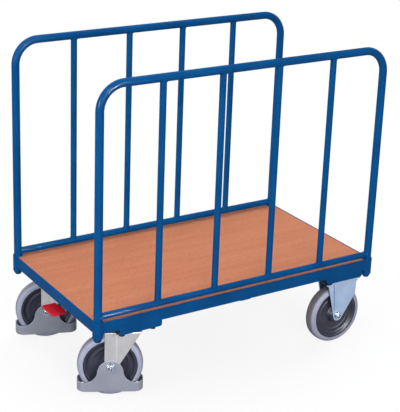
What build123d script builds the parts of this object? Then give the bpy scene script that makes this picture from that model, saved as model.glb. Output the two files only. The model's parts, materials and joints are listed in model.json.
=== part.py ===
from build123d import *
import os
from math import radians, sin, sqrt, tan

# Tubular side trolley: a wooden deck in a folded steel frame, two plug-in tube sides, two swivel
# and two fixed casters, and a central brake worked by one foot pedal.
# Millimetres, +Z up. X runs along the trolley with the swivel casters at -X, Y runs across it with
# the front side at -Y, and the origin lies on the floor below the middle of the deck.

# Layout
LEG_PITCH_X = 1000.0        # hoop leg to hoop leg along the trolley, axis to axis
LEG_PITCH_Y = 550.0         # front side to back side, axis to axis
CORNER_INSET = 10.0         # leg axis inside the outer faces of the rails
SWIVEL_INSET = 150.0        # swivel axes inside the swivel end of the frame
FIXED_INSET = 106.0         # fixed axles inside the fixed end of the frame
FRONT_HEADING = -27.0       # turn of the front swivel caster in the rest pose, degrees
BACK_HEADING = -21.0        # turn of the back swivel caster in the rest pose, degrees
WELD_GAP = 0.1              # room left between round parts that are welded or pressed together
RUN_GAP = 0.05              # radial room of a running fit
MOVE_GAP = 0.3              # room between parts that move past each other

# Frame
RAIL_H = 38.0
RAIL_T = 1.5                # sheet of the folded rails
RIM_W = 3.5                 # width of the hem around the deck
SHELF_W = 30.0              # outer face to the inner edge of the deck shelf
LIP_W = 15.0                # outer face to the inner edge of the foot lip
RAIL_BEND = 1.2
DECK_T = 15.0
DECK_RECESS = 1.0           # deck surface below the rim
DECK_GAP = 0.6              # play around the deck
CHANNEL_MARGIN = 1.5        # channel wider than the caster plate, each side
CHANNEL_H = 19.0
CHANNEL_T = 3.0
CHANNEL_BEND = 8.0
BEAM_W = 48.0
BEAM_DROP = 10.0            # middle beam below the foot of the rails
BEAM_T = 3.0

# Plug-in sides
HOOP_OD = 25.0
HOOP_WALL = 2.0
HOOP_RISE = 692.0           # lower bar axis to hoop top axis
HOOP_BEND = 75.0            # bend radius on the tube axis
BAR_OD = 20.0
BAR_WALL = 2.0
BAR_RISE = 15.0             # lower bar axis above the rim
UPRIGHTS = 4

# Corner sockets
SOCKET_WALL = 3.0
SOCKET_RISE = 2.0           # socket mouth above the rim
SOCKET_DROP = 13.0          # straight part below the foot of the rails
SOCKET_FLOOR = 3.0          # seat of the leg above the start of the cone
CONE_H = 13.0
CONE_TIP_D = 18.0
DRAIN_D = 6.0

# Caster plates and swivel heads
PLATE_HOLES_X = 105.0
PLATE_EDGE_X = 17.5         # hole middle to plate edge
PLATE_EDGE_Y = 11.0
SWIVEL_PLATE_INSET = 12.0   # swivel plate edge inside the outer face of the rail
FIXED_PLATE_INSET = 1.0     # fixed plate edge inside the outer face of the rail
PLATE_T = 5.0
PLATE_CORNER = 8.0
NUT_ROOM = 0.5              # corner-free room between plate nuts and bracket legs
SWIVEL_GAP = 13.0           # plate underside to fork crown
RACE_BOSS_R = 30.0
RACE_BOSS_H = 5.0
DUST_LIP_T = 2.5
DUST_LIP_GAP = 1.0
BALL_D = 9.0
BALL_PITCH_R = 22.0
BALL_COUNT = 10
PIN_OD = 18.0
PIN_FLANGE_D = 32.0
PIN_FLANGE_T = 4.0

# Fork and fixed bracket
TRAIL = 60.0                # swivel axis to wheel axle
FORK_T = 4.0
FORK_W = 62.0               # outside width at the axle
FORK_EYE_R = 18.0           # rounded end around the axle
FORK_CREASE = 17.0          # pressed crease in front of the axle
FORK_FRONT = 33.0           # front edge of the crown ahead of the swivel axis
FORK_TAPER = 0.06           # narrowing ahead of the crease, per millimetre
FORK_BEND = 5.0
BRACKET_BACK = 50.0         # legs of the fixed bracket behind the axle, at the plate
BRACKET_FRONT = 69.5        # and ahead of it
BRACKET_KNEE_X = 66.0       # knee in the front edge of the legs ahead of the axle
BRACKET_KNEE_H = 66.0       # and above it
BRACKET_CREASE = 17.0       # pressed crease behind the axle
BRACKET_TAPER = 0.06        # narrowing behind the crease, per millimetre

# Wheels
WHEEL_D = 200.0
WHEEL_ROOM = 13.0           # tyre to the underside of the fork crown
TYRE_W = 42.0
TYRE_T = 17.0
TYRE_SHOULDER = 16.0
BAND_T = 6.0
BAND_W = 38.0
WEB_T = 22.0
RING_R = 54.0               # raised ring on the web
RING_W = 6.0
RING_H = 3.0
RING_DRAFT = 1.0
HUB_R = 22.0
HUB_DRAFT = 4.0
HUB_GAP = 0.5               # hub face to fork leg
BEARING_OD = 32.0
BEARING_W = 10.0
SLEEVE_OD = 16.0
SLEEVE_ROOM = 2.0           # room between sleeve and hub bore

# Foot guards
GUARD_T = 3.0
GUARD_ROOM = 10.0           # tyre to the ends of the guard, at the top of its band
GUARD_CORNER = 27.0
GUARD_FOOT = 20.0           # lower edge above the floor
GUARD_BAND_H = 31.0
LOBE_R = 40.0
LOBE_RISE = 24.0            # top of the lobe above the axle
LOBE_BLEND = 38.0

# Fasteners
AXLE_D = 12.0
AXLE_AF = 19.0
AXLE_HEAD_H = 7.5
AXLE_NUT_H = 10.0
BOLT_D = 10.0
BOLT_AF = 17.0
BOLT_HEAD_H = 6.4
BOLT_NUT_H = 8.0
BOLT_END = 1.5              # bolt end past its nut
HOLE_PLAY = 1.0             # bolt hole larger than the bolt
SCREW_D = 4.5
SCREW_HEAD_D = 9.0
SCREW_HEAD_H = 3.0
SCREW_DEPTH = 10.0          # screw length in the deck
SCREWS_PER_RAIL = 4

# Central brake
PEDAL_SWING = 10.0          # pedal travel, degrees
FINGER_REACH = 16.0         # brake shaft axis to swivel axis
FINGER_W = 16.0
FINGER_DROP = 8.0           # underside of the finger below the shaft axis
FINGER_TOP = 4.0
SHAFT_D = 14.0
SHAFT_END = 12.0            # shaft end past the finger
SHAFT_HUB_D = 24.0
SHAFT_HUB_ROOM = 2.0        # hubs on the shaft to the deck
STAND_INSET = 80.0          # shaft stands inside the swivel axes
STAND_T = 4.0
STAND_W = 30.0
PLUNGER_D = 10.5
PLUNGER_PLAY = 0.25         # radial room in the king pin
PLUNGER_ROOM = 0.4          # plunger travel past the travel of the finger
PLUNGER_DOME = 4.0
BUTTON_D = 26.0
BUTTON_H = 6.0
TYRE_ROOM = 0.5             # pressed brake button above the tyre
ARM_T = 6.0
ARM_W = 30.0
ARM_ROOM = 6.0              # foot of the sloped part inside the deck shelf
ARM_SLOPE = 28.0            # length of the sloped part along the trolley
ARM_DROP = 52.0             # outer arm below the shaft axis
ARM_SLOT_PLAY = 1.5
PEDAL_OUT = 20.0            # pedal past the swivel end of the frame
PEDAL_L = 48.0
PEDAL_W = 78.0
PEDAL_T = 6.0
PEDAL_CORNER = 6.0
PEDAL_GROOVES = 4
GROOVE_W = 3.0
GROOVE_H = 1.5

# Places worked out from the sizes above
FRAME_L = LEG_PITCH_X + 2 * CORNER_INSET
FRAME_W = LEG_PITCH_Y + 2 * CORNER_INSET
SWIVEL_X = SWIVEL_INSET - FRAME_L / 2
FIXED_X = FRAME_L / 2 - FIXED_INSET
PLATE_L = PLATE_HOLES_X + 2 * PLATE_EDGE_X
PLATE_HOLES_Y = FORK_W + BOLT_AF + 2 * NUT_ROOM
PLATE_W = PLATE_HOLES_Y + 2 * PLATE_EDGE_Y
SWIVEL_Y = FRAME_W / 2 - SWIVEL_PLATE_INSET - PLATE_W / 2
FIXED_Y = FRAME_W / 2 - FIXED_PLATE_INSET - PLATE_W / 2
CHANNEL_W = PLATE_L + 2 * CHANNEL_MARGIN
WHEEL_R = WHEEL_D / 2
CROWN_FOOT = WHEEL_D + WHEEL_ROOM
CROWN_TOP = CROWN_FOOT + FORK_T
PLATE_FOOT = CROWN_TOP + SWIVEL_GAP
CASTER_H = PLATE_FOOT + PLATE_T
WEB_TOP = CASTER_H + CHANNEL_T
RAIL_FOOT = CASTER_H + CHANNEL_H
RIM_TOP = RAIL_FOOT + RAIL_H
SHELF_TOP = RIM_TOP - DECK_RECESS - DECK_T
BAR_Z = RIM_TOP + BAR_RISE
HOOP_TOP = BAR_Z + HOOP_RISE
SOCKET_BORE_R = HOOP_OD / 2 + MOVE_GAP
SOCKET_R = SOCKET_BORE_R + SOCKET_WALL
CONE_TOP = RAIL_FOOT - SOCKET_DROP
LEG_SEAT = CONE_TOP + SOCKET_FLOOR
BOSS_FOOT = PLATE_FOOT - RACE_BOSS_H
BALL_Z = (BOSS_FOOT + CROWN_TOP) / 2
PIN_BORE_R = PLUNGER_D / 2 + PLUNGER_PLAY
FORK_IN = FORK_W / 2 - FORK_T
GUARD_OUT = FORK_W / 2 + GUARD_T
GUARD_BAND_TOP = GUARD_FOOT + GUARD_BAND_H
GUARD_L = 2 * (sqrt(WHEEL_R ** 2 - (WHEEL_R - GUARD_BAND_TOP) ** 2) + GUARD_ROOM + GUARD_T)
RIM_R = WHEEL_R - TYRE_T
SHAFT_X = SWIVEL_X + FINGER_REACH
SHAFT_Z = SHELF_TOP - SHAFT_HUB_ROOM - SHAFT_HUB_D / 2
SHAFT_L = 2 * (SWIVEL_Y + FINGER_W / 2 + SHAFT_END)
PLUNGER_TOP = SHAFT_Z - FINGER_DROP - MOVE_GAP
PLUNGER_TRAVEL = FINGER_REACH * tan(radians(PEDAL_SWING)) + PLUNGER_ROOM
TYRE_UNDER_BUTTON = WHEEL_R + sqrt(WHEEL_R ** 2 - (TRAIL - BUTTON_D / 2) ** 2)
BUTTON_FOOT = TYRE_UNDER_BUTTON + PLUNGER_TRAVEL + TYRE_ROOM
ARM_TOE = ARM_ROOM + SHELF_W - FRAME_L / 2
PEDAL_TIP = -FRAME_L / 2 - PEDAL_OUT
SIDES = {"front": -1, "back": 1}
HEADINGS = {"front": FRONT_HEADING, "back": BACK_HEADING}
CORNERS = [(sx * LEG_PITCH_X / 2, sy * LEG_PITCH_Y / 2) for sx in (-1, 1) for sy in (-1, 1)]
PLATE_HOLES = [(sx * PLATE_HOLES_X / 2, sy * PLATE_HOLES_Y / 2) for sx in (-1, 1) for sy in (-1, 1)]


# Shared shapes

def rod(diameter, foot, top, x=0.0, y=0.0):
    """Upright round bar between two heights."""
    return Pos(x, y, foot) * extrude(Circle(diameter / 2), top - foot)


def rod_y(diameter, length, x=0.0, z=0.0):
    """Round bar across the trolley, centred on the middle plane."""
    return Pos(x, 0, z) * Rot(90, 0, 0) * Cylinder(diameter / 2, length)


def tube(od, wall, length):
    """Round tube along +Z from the origin."""
    return extrude(Circle(od / 2) - Circle(od / 2 - wall), length)


def turned(points):
    """Solid of revolution about Z from (radius, height) points."""
    return revolve(Plane.XZ * make_face(Polyline(*points, close=True)), Axis.Z)


def outline(points):
    """Closed face through the given points."""
    return make_face(Polyline(*points, close=True))


def across(face, width):
    """Prism across the trolley from a face drawn in (x, z), centred on the middle plane."""
    return extrude(Plane.XZ * face, width / 2, both=True)


def hexagon(across_flats):
    """Hexagon face for bolt heads and nuts."""
    return RegularPolygon(across_flats / 2, 6, major_radius=False)


def bolt(diameter, across_flats, head_h, length):
    """Hexagon bolt: head above Z = 0, shank below it."""
    return extrude(hexagon(across_flats), head_h) + extrude(Circle(diameter / 2), -length)


def nut(diameter, across_flats, height):
    """Hexagon nut hanging below Z = 0."""
    return extrude(hexagon(across_flats) - Circle(diameter / 2 + WELD_GAP), -height)


def corner_posts(radius, foot, top):
    """Round posts on the four corner axes, for cutting."""
    return [rod(2 * radius, foot, top, x, y) for x, y in CORNERS]


# Deck frame

def rail_profile():
    """Folded sheet: foot lip, tall outer web, hem over the rim and shelf under the deck."""
    face = outline([
        (0, RAIL_FOOT), (LIP_W, RAIL_FOOT), (LIP_W, RAIL_FOOT + RAIL_T), (RAIL_T, RAIL_FOOT + RAIL_T),
        (RAIL_T, RIM_TOP - RAIL_T), (RIM_W - RAIL_T, RIM_TOP - RAIL_T),
        (RIM_W - RAIL_T, SHELF_TOP - RAIL_T), (SHELF_W, SHELF_TOP - RAIL_T),
        (SHELF_W, SHELF_TOP), (RIM_W, SHELF_TOP), (RIM_W, RIM_TOP), (0, RIM_TOP)])
    rim = face.vertices().group_by(Axis.Y)[-1]
    foot = face.vertices().group_by(Axis.Y)[0].sort_by(Axis.X)[:1]
    return fillet(rim + foot, RAIL_BEND)


def rail(length, offset):
    """Rail with its outer face at Y = -offset, mitred at both ends and cut round the sockets."""
    start = Plane(origin=(-length / 2, -offset, 0), x_dir=(0, 1, 0), z_dir=(1, 0, 0))
    bar = extrude(start * rail_profile(), length)
    inner = length / 2 - SHELF_W
    plan = outline([(-length / 2, -offset), (length / 2, -offset),
                    (inner, -offset + SHELF_W), (-inner, -offset + SHELF_W)])
    return bar & Pos(0, 0, RAIL_FOOT) * extrude(plan, RAIL_H)


def screw_places():
    """Deck screws along the shelves of the two long rails."""
    step = LEG_PITCH_X / (SCREWS_PER_RAIL + 1)
    y = FRAME_W / 2 - (RIM_W + SHELF_W) / 2
    return [(-LEG_PITCH_X / 2 + step * (n + 1), sy * y) for n in range(SCREWS_PER_RAIL) for sy in (-1, 1)]


def rails():
    """The four mitred rails, with clear holes for the deck screws."""
    posts = corner_posts(SOCKET_R + WELD_GAP, CONE_TOP, RIM_TOP + SOCKET_RISE)
    holes = [rod(SCREW_D + HOLE_PLAY, SHELF_TOP - 2 * RAIL_T, SHELF_TOP + RAIL_T, x, y)
             for x, y in screw_places()]
    long_rail = rail(FRAME_L, FRAME_W / 2)
    end_rail = rail(FRAME_W, FRAME_L / 2)
    return {
        "front_rail": long_rail - posts - holes,
        "back_rail": Rot(0, 0, 180) * long_rail - posts - holes,
        "swivel_end_rail": Rot(0, 0, -90) * end_rail - posts,
        "fixed_end_rail": Rot(0, 0, 90) * end_rail - posts,
    }


def deck_panel():
    """Wooden panel let into the rim, with rounded notches for the corner sockets."""
    play = 2 * (RIM_W + DECK_GAP)
    board = Pos(0, 0, SHELF_TOP) * extrude(Rectangle(FRAME_L - play, FRAME_W - play), DECK_T)
    notches = corner_posts(SOCKET_R + DECK_GAP, CONE_TOP, RIM_TOP)
    holes = [rod(SCREW_D + 2 * WELD_GAP, SHELF_TOP, SHELF_TOP + SCREW_DEPTH, x, y)
             for x, y in screw_places()]
    return board - notches - holes


def deck_screws():
    """Pan-head screws driven up through the shelves."""
    head_foot = SHELF_TOP - RAIL_T - SCREW_HEAD_H
    head = rod(SCREW_HEAD_D, head_foot, SHELF_TOP - RAIL_T)
    screw = head + rod(SCREW_D, head_foot, SHELF_TOP + SCREW_DEPTH)
    return [Pos(x, y, 0) * screw for x, y in screw_places()]


def corner_sockets():
    """Four tube sockets with a flat seat for the leg and a conical closed end."""
    socket = turned([
        (SOCKET_BORE_R, LEG_SEAT), (SOCKET_BORE_R, RIM_TOP + SOCKET_RISE),
        (SOCKET_R, RIM_TOP + SOCKET_RISE), (SOCKET_R, CONE_TOP), (CONE_TIP_D / 2, CONE_TOP - CONE_H),
        (DRAIN_D / 2, CONE_TOP - CONE_H), (DRAIN_D / 2, LEG_SEAT)])
    return [Pos(x, y, 0) * socket for x, y in CORNERS]


def tray(width, height, sheet, bend):
    """Folded tray across the trolley, open at the top, with rounded lower edges."""
    outer = Pos(0, 0, height / 2) * Box(width, FRAME_W, height)
    outer = fillet(outer.edges().filter_by(Axis.Y).group_by(Axis.Z)[0], bend)
    inner = Pos(0, 0, height / 2 + sheet) * Box(width - 2 * sheet, FRAME_W - 2 * sheet, height)
    inner = fillet(inner.edges().filter_by(Axis.Y).group_by(Axis.Z)[0], bend - sheet)
    return outer - inner


def caster_channel(x, y):
    """Channel under both rails that carries a pair of casters."""
    channel = Pos(x, 0, CASTER_H) * tray(CHANNEL_W, CHANNEL_H, CHANNEL_T, CHANNEL_BEND)
    holes = [rod(BOLT_D + HOLE_PLAY, CASTER_H, WEB_TOP, x + dx, sy * y + dy)
             for dx, dy in PLATE_HOLES for sy in (-1, 1)]
    return channel - holes


def swivel_channel():
    """Caster channel with openings for the brake plungers and the pedal arm."""
    plunger_holes = [rod(PLUNGER_D + 2 * HOLE_PLAY, CASTER_H, WEB_TOP, SWIVEL_X, sy * SWIVEL_Y)
                     for sy in (-1, 1)]
    wall = SWIVEL_X - (CHANNEL_W - CHANNEL_T) / 2
    drop = (SHAFT_X - wall + CHANNEL_T) * sin(radians(PEDAL_SWING)) + ARM_T / 2 + ARM_SLOT_PLAY
    slot_h = RAIL_FOOT - SHAFT_Z + drop
    slot = Pos(wall, 0, RAIL_FOOT - slot_h / 2) * Box(2 * CHANNEL_T, ARM_W + 2 * ARM_SLOT_PLAY, slot_h)
    return caster_channel(SWIVEL_X, SWIVEL_Y) - plunger_holes - slot


def mid_beam():
    """Folded beam halfway between the caster channels, notched under the deck shelves."""
    foot = RAIL_FOOT - BEAM_DROP
    length = FRAME_W - 2 * LIP_W
    height = SHELF_TOP - foot
    outer = Pos(0, 0, height / 2) * Box(BEAM_W, length, height)
    outer = fillet(outer.edges().filter_by(Axis.Y).group_by(Axis.Z)[0], CHANNEL_BEND)
    inner = Pos(0, 0, height / 2 + BEAM_T) * Box(BEAM_W - 2 * BEAM_T, length, height)
    inner = fillet(inner.edges().filter_by(Axis.Y).group_by(Axis.Z)[0], CHANNEL_BEND - BEAM_T)
    beam = Pos((SWIVEL_X + FIXED_X) / 2, 0, foot) * (outer - inner)
    shelves = Pos(0, 0, SHELF_TOP - RAIL_T / 2) * (
        Box(FRAME_L, FRAME_W, RAIL_T) - Box(FRAME_L, FRAME_W - 2 * SHELF_W, RAIL_T))
    return beam - shelves


# Plug-in sides

def hoop(y):
    """One tube bent down at both ends, standing on the seats of two corner sockets."""
    left = -LEG_PITCH_X / 2
    right = LEG_PITCH_X / 2
    path = FilletPolyline((left, y, LEG_SEAT), (left, y, HOOP_TOP), (right, y, HOOP_TOP),
                          (right, y, LEG_SEAT), radius=HOOP_BEND)
    ring = Pos(left, y, LEG_SEAT) * (Circle(HOOP_OD / 2) - Circle(HOOP_OD / 2 - HOOP_WALL))
    return sweep(ring, path=path)


def lower_bar(y):
    """Tube between the legs, coped to fit round them."""
    bar = Pos(-LEG_PITCH_X / 2, y, BAR_Z) * Rot(0, 90, 0) * tube(BAR_OD, BAR_WALL, LEG_PITCH_X)
    legs = corner_posts(HOOP_OD / 2 + WELD_GAP, BAR_Z - BAR_OD, BAR_Z + BAR_OD)
    return bar - legs


def uprights(y):
    """Evenly spaced tubes between lower bar and hoop, coped at both ends."""
    pitch = LEG_PITCH_X / (UPRIGHTS + 1)
    along = Pos(-LEG_PITCH_X / 2, y, 0) * Rot(0, 90, 0)
    bar = Pos(0, 0, BAR_Z) * along * extrude(Circle(BAR_OD / 2 + WELD_GAP), LEG_PITCH_X)
    top = Pos(0, 0, HOOP_TOP) * along * extrude(Circle(HOOP_OD / 2 + WELD_GAP), LEG_PITCH_X)
    blank = Pos(-LEG_PITCH_X / 2, y, BAR_Z) * tube(BAR_OD, BAR_WALL, HOOP_RISE)
    return [Pos(pitch * (n + 1), 0, 0) * blank - bar - top for n in range(UPRIGHTS)]


# Casters

def mounting_plate():
    """Rectangular top plate with four bolt holes, centred on the caster."""
    face = RectangleRounded(PLATE_L, PLATE_W, PLATE_CORNER)
    holes = [Pos(x, y) * Circle((BOLT_D + HOLE_PLAY) / 2) for x, y in PLATE_HOLES]
    return Pos(0, 0, PLATE_FOOT) * extrude(face - holes, PLATE_T)


def ball_groove():
    """Ring cut in plate and crown so that the balls run in a groove."""
    return Pos(0, 0, BALL_Z) * Torus(BALL_PITCH_R, BALL_D / 2 + MOVE_GAP)


def swivel_plate():
    """Top plate of a swivel caster with its race boss, dust lip and king pin hole."""
    boss = rod(2 * RACE_BOSS_R, BOSS_FOOT, PLATE_FOOT)
    lip = rod(2 * RACE_BOSS_R, CROWN_TOP + DUST_LIP_GAP, BOSS_FOOT)
    lip -= rod(2 * (RACE_BOSS_R - DUST_LIP_T), CROWN_TOP + DUST_LIP_GAP, BOSS_FOOT)
    pin_hole = rod(PIN_OD + 2 * WELD_GAP, BOSS_FOOT, CASTER_H)
    return mounting_plate() + boss + lip - pin_hole - ball_groove()


def king_pin():
    """Hollow pin riveted into the plate, with a flange that carries the fork crown."""
    flange_top = CROWN_FOOT - MOVE_GAP
    return turned([
        (PIN_BORE_R, flange_top - PIN_FLANGE_T), (PIN_FLANGE_D / 2, flange_top - PIN_FLANGE_T),
        (PIN_FLANGE_D / 2, flange_top), (PIN_OD / 2, flange_top), (PIN_OD / 2, CASTER_H),
        (PIN_BORE_R, CASTER_H)])


def fork_plan(wall, overrun):
    """Plan of the fork inside a given wall: straight round the wheel, tapered ahead of the crease."""
    rear = -TRAIL - FORK_EYE_R - overrun
    crease = -TRAIL + FORK_CREASE
    front = FORK_FRONT + overrun
    half = FORK_W / 2 - wall
    tip = half - FORK_TAPER * (front - crease)
    return outline([(rear, -half), (crease, -half), (front, -tip),
                    (front, tip), (crease, half), (rear, half)])


def fork():
    """Sheet bent into two legs and a crown, with an upright rear edge and a slanted front edge."""
    foot = WHEEL_R - FORK_EYE_R
    outer = Pos(0, 0, foot) * extrude(fork_plan(0, 0), CROWN_TOP - foot)
    rim = outer.edges().group_by(Axis.Z)[-1]
    bends = [e for e in rim if abs(e.tangent_at(0).X) > abs(e.tangent_at(0).Y)]
    outer = fillet(bends, FORK_BEND)
    inner = Pos(0, 0, foot) * extrude(fork_plan(FORK_T, FORK_T), CROWN_FOOT - foot)
    eye = Pos(-TRAIL, WHEEL_R) * Circle(FORK_EYE_R)
    top = Line((-TRAIL - FORK_EYE_R, CROWN_TOP), (FORK_FRONT, CROWN_TOP))
    side = make_hull(eye.edges() + top.edges())
    shape = (outer - inner) & across(side, FORK_W)
    axle_hole = rod_y(AXLE_D + 2 * WELD_GAP, FORK_W, -TRAIL, WHEEL_R)
    pin_hole = rod(PIN_OD + 2 * RUN_GAP, CROWN_FOOT, CROWN_TOP)
    return shape - axle_hole - pin_hole - ball_groove()


def swivel_balls():
    """Ball ring between plate and crown."""
    ball = Sphere(BALL_D / 2)
    step = 360 / BALL_COUNT
    return [Rot(0, 0, step * n) * Pos(BALL_PITCH_R, 0, BALL_Z) * ball for n in range(BALL_COUNT)]


def guard_outline():
    """Side view of the guard: a low band with a round lobe over the axle, blended by two arcs."""
    lobe_z = WHEEL_R + LOBE_RISE - LOBE_R
    blend_z = GUARD_BAND_TOP + LOBE_BLEND
    blend_x = sqrt((LOBE_R + LOBE_BLEND) ** 2 - (blend_z - lobe_z) ** 2)
    share = LOBE_R / (LOBE_R + LOBE_BLEND)
    touch = (blend_x * share, lobe_z + (blend_z - lobe_z) * share)
    band = (blend_x, GUARD_BAND_TOP)
    edges = [
        Polyline((-band[0], band[1]), (-GUARD_L / 2, GUARD_BAND_TOP), (-GUARD_L / 2, GUARD_FOOT),
                 (GUARD_L / 2, GUARD_FOOT), (GUARD_L / 2, GUARD_BAND_TOP), band),
        RadiusArc(touch, band, -LOBE_BLEND),
        ThreePointArc(touch, (0, lobe_z + LOBE_R), (-touch[0], touch[1])),
        RadiusArc((-band[0], band[1]), (-touch[0], touch[1]), -LOBE_BLEND)]
    return Pos(-TRAIL, 0) * make_face(edges)


def foot_guard():
    """Plastic ring round the foot of the wheel, hung from the axle by a lobe on each side."""
    top = WHEEL_R + LOBE_RISE
    inside = 2 * GUARD_T
    ring = RectangleRounded(GUARD_L, 2 * GUARD_OUT, GUARD_CORNER)
    ring -= RectangleRounded(GUARD_L - inside, 2 * GUARD_OUT - inside, GUARD_CORNER - GUARD_T)
    shell = Pos(-TRAIL, 0, GUARD_FOOT) * extrude(ring, top - GUARD_FOOT)
    axle_hole = rod_y(AXLE_D + 2 * WELD_GAP, 2 * GUARD_OUT, -TRAIL, WHEEL_R)
    return shell & across(guard_outline(), 2 * GUARD_OUT) - axle_hole


def axle_bolt(half_grip):
    """Axle bolt through both legs with its head on the front side, at the origin."""
    shank = 2 * half_grip + AXLE_NUT_H + BOLT_END
    return Pos(0, -half_grip, 0) * Rot(90, 0, 0) * bolt(AXLE_D, AXLE_AF, AXLE_HEAD_H, shank)


def axle_nut(half_grip):
    """Axle nut on the back side."""
    return Pos(0, half_grip, 0) * Rot(90, 0, 0) * nut(AXLE_D, AXLE_AF, AXLE_NUT_H)


def axle_sleeve():
    """Spacer tube clamped between the legs, on which the bearings run."""
    wall = SLEEVE_OD / 2 - AXLE_D / 2 - WELD_GAP
    return Rot(90, 0, 0) * Pos(0, 0, -FORK_IN) * tube(SLEEVE_OD, wall, 2 * FORK_IN)


def wheel_rim():
    """Moulded wheel centre: hub with two bearing seats, thin web with a raised ring, and outer band."""
    hub = FORK_IN - HUB_GAP
    seat_r = BEARING_OD / 2 + WELD_GAP
    bore_r = SLEEVE_OD / 2 + SLEEVE_ROOM
    web = WEB_T / 2
    half = [(bore_r, hub - BEARING_W), (seat_r, hub - BEARING_W), (seat_r, hub), (HUB_R, hub),
            (HUB_R + HUB_DRAFT, web), (RING_R, web), (RING_R + RING_DRAFT, web + RING_H),
            (RING_R + RING_W - RING_DRAFT, web + RING_H), (RING_R + RING_W, web),
            (RIM_R - BAND_T - HUB_DRAFT, web), (RIM_R - BAND_T, BAND_W / 2), (RIM_R, BAND_W / 2)]
    return Rot(90, 0, 0) * turned(half + [(r, -y) for r, y in reversed(half)])


def tyre():
    """Solid tyre with rounded shoulders round the wheel centre."""
    seat = RIM_R + WELD_GAP
    face = outline([(seat, -TYRE_W / 2), (WHEEL_R, -TYRE_W / 2), (WHEEL_R, TYRE_W / 2), (seat, TYRE_W / 2)])
    face = fillet(face.vertices().group_by(Axis.X)[-1], TYRE_SHOULDER)
    return Rot(90, 0, 0) * revolve(Plane.XZ * face, Axis.Z)


def wheel_bearings():
    """Two sealed bearings, one in each end of the hub."""
    hub = FORK_IN - HUB_GAP
    wall = BEARING_OD / 2 - SLEEVE_OD / 2 - RUN_GAP
    ring = Rot(90, 0, 0) * tube(BEARING_OD, wall, BEARING_W)
    return [Pos(0, y, 0) * ring for y in (hub, BEARING_W - hub)]


def bracket_plan(wall, overrun):
    """Plan of the fixed bracket inside a given wall: straight legs that taper behind the crease."""
    back = -BRACKET_BACK - overrun
    front = BRACKET_FRONT + overrun
    half = FORK_W / 2 - wall
    tip = half + BRACKET_TAPER * (back + BRACKET_CREASE)
    crease = -BRACKET_CREASE
    return outline([(back, -tip), (crease, -half), (front, -half),
                    (front, half), (crease, half), (back, tip)])


def fixed_bracket():
    """Plate with two pressed legs that taper down to the axle, with a knee in the front edge."""
    foot = WHEEL_R - FORK_EYE_R
    seat = CASTER_H - PLATE_T / 2
    walls = extrude(bracket_plan(0, 0), CASTER_H - foot)
    walls -= extrude(bracket_plan(FORK_T, FORK_T), CASTER_H - foot)
    eye = Pos(0, WHEEL_R) * Circle(FORK_EYE_R)
    top = Polyline((-BRACKET_BACK, seat), (BRACKET_FRONT, seat), (BRACKET_KNEE_X, WHEEL_R + BRACKET_KNEE_H))
    legs = Pos(0, 0, foot) * walls & across(make_hull(eye.edges() + top.edges()), FORK_W)
    axle_hole = rod_y(AXLE_D + 2 * WELD_GAP, FORK_W, 0, WHEEL_R)
    return mounting_plate() + legs - axle_hole


def caster_places():
    """Middles of the four caster plates."""
    places = [(SWIVEL_X, SWIVEL_Y), (FIXED_X, FIXED_Y)]
    return [(x, sy * y) for x, y in places for sy in (-1, 1)]


def caster_bolts():
    """Bolts that hold the four plates, with their heads inside the channels."""
    length = WEB_TOP - PLATE_FOOT + BOLT_NUT_H + BOLT_END
    one = bolt(BOLT_D, BOLT_AF, BOLT_HEAD_H, length)
    return [Pos(x + dx, y + dy, WEB_TOP) * one for x, y in caster_places() for dx, dy in PLATE_HOLES]


def caster_nuts():
    """Nuts under the four plates."""
    one = nut(BOLT_D, BOLT_AF, BOLT_NUT_H)
    return [Pos(x + dx, y + dy, PLATE_FOOT) * one for x, y in caster_places() for dx, dy in PLATE_HOLES]


# Central brake

def brake_shaft():
    """Cross shaft inside the swivel channel."""
    return rod_y(SHAFT_D, SHAFT_L, SHAFT_X, SHAFT_Z)


def shaft_hub(width):
    """Clamping hub on the brake shaft, centred on the middle plane."""
    return rod_y(SHAFT_HUB_D, width, SHAFT_X, SHAFT_Z)


def shaft_bore(diameter, width):
    """Bore for the brake shaft."""
    return rod_y(diameter, width, SHAFT_X, SHAFT_Z)


def brake_fingers():
    """Two fingers on the shaft that push the plungers down."""
    reach = FINGER_REACH + FINGER_W / 2
    height = FINGER_DROP + FINGER_TOP
    middle = Pos(SHAFT_X - reach / 2, 0, SHAFT_Z + (FINGER_TOP - FINGER_DROP) / 2)
    block = middle * Box(reach, FINGER_W, height)
    finger = shaft_hub(FINGER_W) + block - shaft_bore(SHAFT_D + 2 * WELD_GAP, FINGER_W)
    return [Pos(0, sy * SWIVEL_Y, 0) * finger for sy in (-1, 1)]


def shaft_brackets():
    """Two stands on the channel floor in which the shaft turns."""
    eye = Pos(SHAFT_X, SHAFT_Z) * Circle(SHAFT_HUB_D / 2)
    base = Line((SHAFT_X - STAND_W / 2, WEB_TOP), (SHAFT_X + STAND_W / 2, WEB_TOP))
    stand = across(make_hull(eye.edges() + base.edges()), STAND_T)
    foot = Pos(SHAFT_X, STAND_W / 2 - STAND_T / 2, WEB_TOP + STAND_T / 2) * Box(STAND_W, STAND_W, STAND_T)
    bracket = stand + foot - shaft_bore(SHAFT_D + 2 * RUN_GAP, STAND_T)
    stand_y = SWIVEL_Y - STAND_INSET
    return [Pos(0, -stand_y, 0) * bracket, Pos(0, stand_y - STAND_W + STAND_T, 0) * bracket]


def brake_plunger(side):
    """Rod through the hollow king pin with a domed top and a brake button over the tyre."""
    stem = rod(PLUNGER_D, BUTTON_FOOT, PLUNGER_TOP)
    stem = fillet(stem.edges().group_by(Axis.Z)[-1], PLUNGER_DOME)
    button = rod(BUTTON_D, BUTTON_FOOT, BUTTON_FOOT + BUTTON_H)
    button = fillet(button.edges().group_by(Axis.Z)[0], PLUNGER_DOME)
    return Pos(SWIVEL_X, side * SWIVEL_Y, 0) * (stem + button)


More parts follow.
